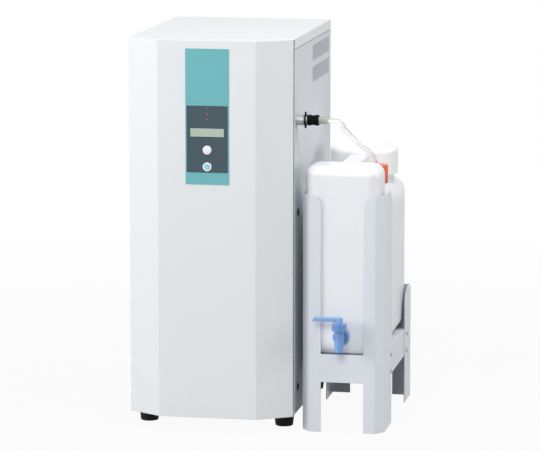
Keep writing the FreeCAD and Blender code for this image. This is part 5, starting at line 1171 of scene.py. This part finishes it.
@dataclass
class Studio:
    """The floor, the light and the camera."""

    workshop: Workshop
    floor_size: float = 60.0
    sky: float = 0.17
    lamps: tuple[Lamp, ...] = (
        Lamp("key_light", (-3.6, -2.0, 1.5), 92.0, 1.5),
        Lamp("front_light", (0.05, -3.8, 2.6), 75.0, 1.8),
        Lamp("top_light", (0.9, -0.4, 3.3), 55.0, 2.4),
        Lamp("side_light", (4.2, -0.4, 1.4), 42.0, 1.4),
        Lamp("rear_light", (-0.9, 4.2, 0.42), 44.0, 0.7),
    )
    lamp_aim: Point = (0.0, 0.0, 0.4)
    lens: float = 208.411
    sensor: float = 36.0
    view_depth: float = 100.0
    eye: Point = (1.240007, -5.857501, 1.378394)
    tilt_degrees: float = 80.8179
    turn_degrees: float = 10.7788

    def build(self) -> None:
        """Set up everything round the object."""
        self.build_camera()
        self.build_world()
        self.build_floor()
        for lamp in self.lamps:
            self.build_lamp(lamp)

    def build_camera(self) -> None:
        """Place the camera where the photograph was taken, measured from the door's front."""
        low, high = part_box("door_shell")
        data = bpy.data.cameras.new("camera")
        data.sensor_width = self.sensor
        data.lens = self.lens
        data.clip_end = self.view_depth
        camera = add_object("camera", data)
        camera.location = Vector(self.eye) + Vector(((low.x + high.x) / 2, low.y, 0.0))
        camera.rotation_euler = (math.radians(self.tilt_degrees), 0.0, math.radians(self.turn_degrees))
        bpy.context.scene.camera = camera
        LOG.info("placed the camera at %s", tuple(round(value, 4) for value in camera.location))

    def build_world(self) -> None:
        """Make a white surround that lights the object at a plain level."""
        world = bpy.data.worlds.new("surround")
        bpy.context.scene.world = world
        graph = Graph(world)
        strength = self.sky + graph.seen() * (1.0 - self.sky)
        light = graph.node("ShaderNodeBackground", None, {"Color": WHITE, "Strength": strength})
        graph.close(light, "ShaderNodeOutputWorld")

    def build_floor(self) -> None:
        """Lay a wide pale floor that keeps the object's shadow."""
        half = self.floor_size / 2
        shape = bmesh.new()
        corners = ((-half, -half, 0.0), (half, -half, 0.0), (half, half, 0.0), (-half, half, 0.0))
        shape.faces.new([shape.verts.new(corner) for corner in corners])
        floor = self.workshop.add_mesh("floor", shape, FLOOR)

    def build_lamp(self, lamp: Lamp) -> None:
        """Hang one soft lamp that faces the object.

        Args:
            lamp: The lamp.
        """
        data = bpy.data.lights.new(lamp.name, "AREA")
        data.energy = lamp.power
        data.size = lamp.size
        hung = add_object(lamp.name, data)
        hung.location = lamp.place
        hung.visible_camera = False
        aim = Vector(self.lamp_aim) - Vector(lamp.place)
        hung.rotation_euler = aim.to_track_quat("-Z", "Y").to_euler()


@dataclass
class Outlet:
    """The product outlet on the right side: its fitting, nut, sleeve and clear hose."""

    workshop: Workshop
    hose_radius: float = 0.005
    hose_length: float = 0.160
    curve_order: int = 3
    curve_steps: int = 16
    round_steps: int = 8
    route: tuple[Point, ...] = (
        (0.1362, -0.1733, 0.6110),
        (0.14768, -0.1733, 0.6110),
        (0.1602, -0.17232, 0.60833),
        (0.16669, -0.16727, 0.5945),
        (0.17817, -0.15031, 0.57649),
        (0.19623, -0.12032, 0.55349),
        (0.20998, -0.09411, 0.53609),
        (0.21539, -0.08455, 0.52184),
    )

    def build(self) -> None:
        """Dress the fitting and lay the hose."""
        self.build_hose()
        self.workshop.dress(NICKEL, "outlet_fitting")
        self.workshop.dress(BLACK_PLASTIC, "retaining_ring", "union_nut")
        self.workshop.dress(CLEAR_SLEEVE, "hose_sleeve")

    def build_hose(self) -> None:
        """Lay the hose as one smooth curve from the sleeve to the tank's filling port."""
        data = bpy.data.curves.new("hose", "CURVE")
        data.dimensions = "3D"
        spline = data.splines.new("NURBS")
        spline.points.add(len(self.route) - 1)
        for point, place in zip(spline.points, self.route):
            point.co = (*place, 1.0)
        spline.order_u = self.curve_order
        spline.use_endpoint_u = True
        data.resolution_u = self.curve_steps
        data.bevel_depth = self.hose_radius
        data.bevel_resolution = self.round_steps
        data.use_fill_caps = True
        data.materials.append(self.workshop.material(CLEAR_HOSE))
        hose = add_object("hose", data)
        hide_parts("delivery_hose")
        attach(hose, Body.CABINET.value)
        LOG.info("built hose on %s", Body.CABINET.value)


@dataclass
class Cabinet:
    """The cabinet's shell, feet and frame, its door's foam seal and its hinges' rivets."""

    workshop: Workshop
    seal_inset: float = 0.0043
    seal_ends: float = 0.006
    seal_width: float = 0.007
    seal_height: float = 0.0125
    seal_head_height: float = 0.0027
    seal_gap: float = 0.003
    seal_below_cover: float = 0.002
    hinge_height: float = 0.074
    leaf_thickness: float = 0.002
    rivet: RivetHead = RivetHead()
    rivet_inset: float = 0.008
    rivet_rows: int = 3

    def build(self) -> None:
        """Dress the shell and add the small pieces."""
        shop = self.workshop
        shop.dress(WHITE_PAINT, "rear_panel", "top_cover", "door_shell")
        shop.dress(SLOTTED_PAINT, "left_side_panel", "right_side_panel")
        shop.dress(ZINC_SHEET, "base_pan", "chassis_frame", "bulkhead", "boiler_shelf")
        shop.dress(BLACK_RUBBER, "rubber_feet")
        shop.dress(ZINC_SCREWS, "screws")
        shop.dress(HINGE_STEEL, "hinge_door_leaves", "hinge_frame_leaves", "hinge_pins")
        shop.dress(BLACK_PLASTIC, "side_plugs", "magnet_catch", "cord_gland")
        self.build_seal()
        self.build_rivets("door_leaf_rivets", "hinge_door_leaves", Body.DOOR, True)
        self.build_rivets("frame_leaf_rivets", "hinge_frame_leaves", Body.CABINET, False)

    def build_seal(self) -> None:
        """Stick strips of soft foam round the back of the door, between its hinges and clear of its catch."""
        low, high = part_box("door_shell")
        hinge_low, hinge_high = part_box("hinge_door_leaves")
        catch_low, catch_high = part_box("magnet_catch")
        cover_low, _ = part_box("top_cover")
        left, right = low.x + self.seal_inset, high.x - self.seal_inset
        foot, head = low.z + self.seal_ends, high.z - self.seal_ends
        floor, ceiling = foot + self.seal_width / 2, cover_low.z - self.seal_below_cover
        clear_of_hinge = self.hinge_height + self.seal_gap
        runs = [
            (right, floor, right, hinge_low.z - self.seal_gap, self.seal_height),
            (right, hinge_low.z + clear_of_hinge, right, hinge_high.z - clear_of_hinge, self.seal_height),
            (left, floor, left, catch_low.z - self.seal_gap, self.seal_height),
            (left, catch_high.z + self.seal_gap, left, ceiling, self.seal_height),
            (left, foot, right, foot, self.seal_height),
            (left, head, right, head, self.seal_head_height),
        ]
        shape = bmesh.new()
        for x0, z0, x1, z1, height in runs:
            start, end = Vector((x0, high.y, z0)), Vector((x1, high.y, z1))
            FoamStrip(start, end, self.seal_width, height).add_to(shape)
        # the dark foam also paints the shade of the door's seam, where it shows through the gap
        self.workshop.mesh_piece("door_seal", shape, SEAL_FOAM, Body.DOOR, "foot_rubber")

    def build_rivets(self, name: str, leaves: str, body: Body, faces_rear: bool) -> None:
        """Set low-domed rivets in the hinge leaves.

        Args:
            name: The piece's name.
            leaves: The CAD node of the leaves.
            body: The body that the rivets ride on.
            faces_rear: True where the leaves' open face looks to the rear.
        """
        low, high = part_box(leaves)
        x = low.x + self.rivet_inset
        y = low.y + self.leaf_thickness if faces_rear else high.y - self.leaf_thickness
        turn = Matrix.Rotation(math.radians(-90.0 if faces_rear else 90.0), 4, "X")
        shape = bmesh.new()
        for foot in (low.z, high.z - self.hinge_height):
            for i in range(self.rivet_rows):
                z = foot + self.hinge_height * (i + 0.5) / self.rivet_rows
                self.rivet.add_to(shape, Matrix.Translation((x, y, z)) @ turn)
        self.workshop.mesh_piece(name, shape, ZINC_SCREWS, body, "zinc_fasteners")


@dataclass
class ControlPanel:
    """The plate, film, display, lamps and buttons on the door, and the board behind them."""

    workshop: Workshop
    display_margin: float = 0.003
    display_columns: int = 16
    display_rows: int = 2
    display_colour: Colour = srgb(176, 191, 177)
    lamp_share: float = 0.3
    lamp_colours: tuple[Colour, ...] = (srgb(84, 130, 100), srgb(196, 70, 70), srgb(170, 130, 80))

    def build(self) -> None:
        """Dress the panel's pieces."""
        shop = self.workshop
        shop.dress(TEAL_PLATE, "panel_plate")
        shop.dress(SLATE_FILM, "keypad_overlay")
        shop.dress(RING_WHITE, "button_bezels")
        shop.dress(WHITE_KEY, "display_button")
        shop.dress(BLUE_KEY, "start_button")
        shop.dress(BOARD_GREEN, "control_board")
        shop.dress(GREY_COVER, "board_cover")
        self.dress_display()
        self.dress_lamps()

    def dress_display(self) -> None:
        """Dress the display, with its cells counted from the window's corner."""
        low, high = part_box("display_window")
        width = (high.x - low.x - 2 * self.display_margin) / self.display_columns
        height = (high.z - low.z - self.display_margin) / self.display_rows
        left, foot = low.x + self.display_margin, low.z + self.display_margin / 2
        finish = DisplayGlass("display_glass", self.display_colour, left, foot, width, height)
        self.workshop.dress(finish, "display_window")

    def dress_lamps(self) -> None:
        """Dress the lamps, each with the tint of its height. A lamp is a share of their pitch high."""
        low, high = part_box("status_lamps")
        upper, middle, lower = self.lamp_colours
        pitch = (high.z - low.z) / (len(self.lamp_colours) - 1 + self.lamp_share)
        finish = LampRow("lamp_row", middle, upper, lower, (low.z + high.z) / 2, pitch)
        self.workshop.dress(finish, "status_lamps")


@dataclass
class WaterPath:
    """Everything that carries water or power inside the cabinet, and its spigots at the rear."""

    workshop: Workshop
    steel: tuple[str, ...] = ("boiler_vessel", "boiler_lid", "heater", "condenser_jacket", "condenser_coil",
                              "condenser_clamp")

    def build(self) -> None:
        """Dress the inner pieces."""
        shop = self.workshop
        shop.dress(STAINLESS, *self.steel)
        shop.dress(CLEAR_ACRYLIC, "level_chamber")
        shop.dress(FLOAT_RED, "level_float")
        shop.dress(FILTER_BLUE, "prefilter")
        shop.dress(RESIN_WHITE, "resin_cartridge")
        shop.dress(ZINC_SHEET, "cartridge_bracket")
        shop.dress(BRASS, "solenoid_valve", "drain_cock_body")
        shop.dress(CLEAR_TUBE, "inner_tubes")
        shop.dress(HANDLE_RED, "drain_cock_lever")
        shop.dress(GREY_COVER, "power_box")
        shop.dress(BLACK_PLASTIC, "breaker_toggle")
        shop.dress(NICKEL, "water_spigots")


@dataclass
class Rack:
    """The painted rack that the tank stands in."""

    workshop: Workshop
    sheets: tuple[str, ...] = ("rack_front", "rack_tray", "rack_rear")

    def build(self) -> None:
        """Dress the rack's three sheets."""
        self.workshop.dress(RACK_PAINT, *self.sheets)


@dataclass
class Tank:
    """The storage tank with its caps, filling port and tap."""

    workshop: Workshop

    def build(self) -> None:
        """Dress the tank and what is fixed to it."""
        shop = self.workshop
        shop.dress(TANK_PLASTIC, "storage_tank")
        shop.dress(CAP_PLASTIC, "tank_cap", "inner_lid")
        shop.dress(NIPPLE_PLASTIC, "port_nipple")
        shop.dress(ORANGE_CAP, "port_cap")
        shop.dress(TAP_BLUE, "tap_body", "tap_collar")
        shop.dress(LEVER_BLUE, "tap_lever")


def main() -> None:
    """Build the studio and every sub-assembly in order."""
    logging.basicConfig(level=logging.INFO, format="%(name)s: %(message)s")
    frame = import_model()
    bpy.context.scene.view_settings.view_transform = "Standard"
    workshop = Workshop(frame)
    for group in (Studio, Outlet, Cabinet, ControlPanel, WaterPath, Rack, Tank):
        group(workshop).build()
        LOG.info("finished %s", group.__name__)


if __name__ == "__main__":
    main()
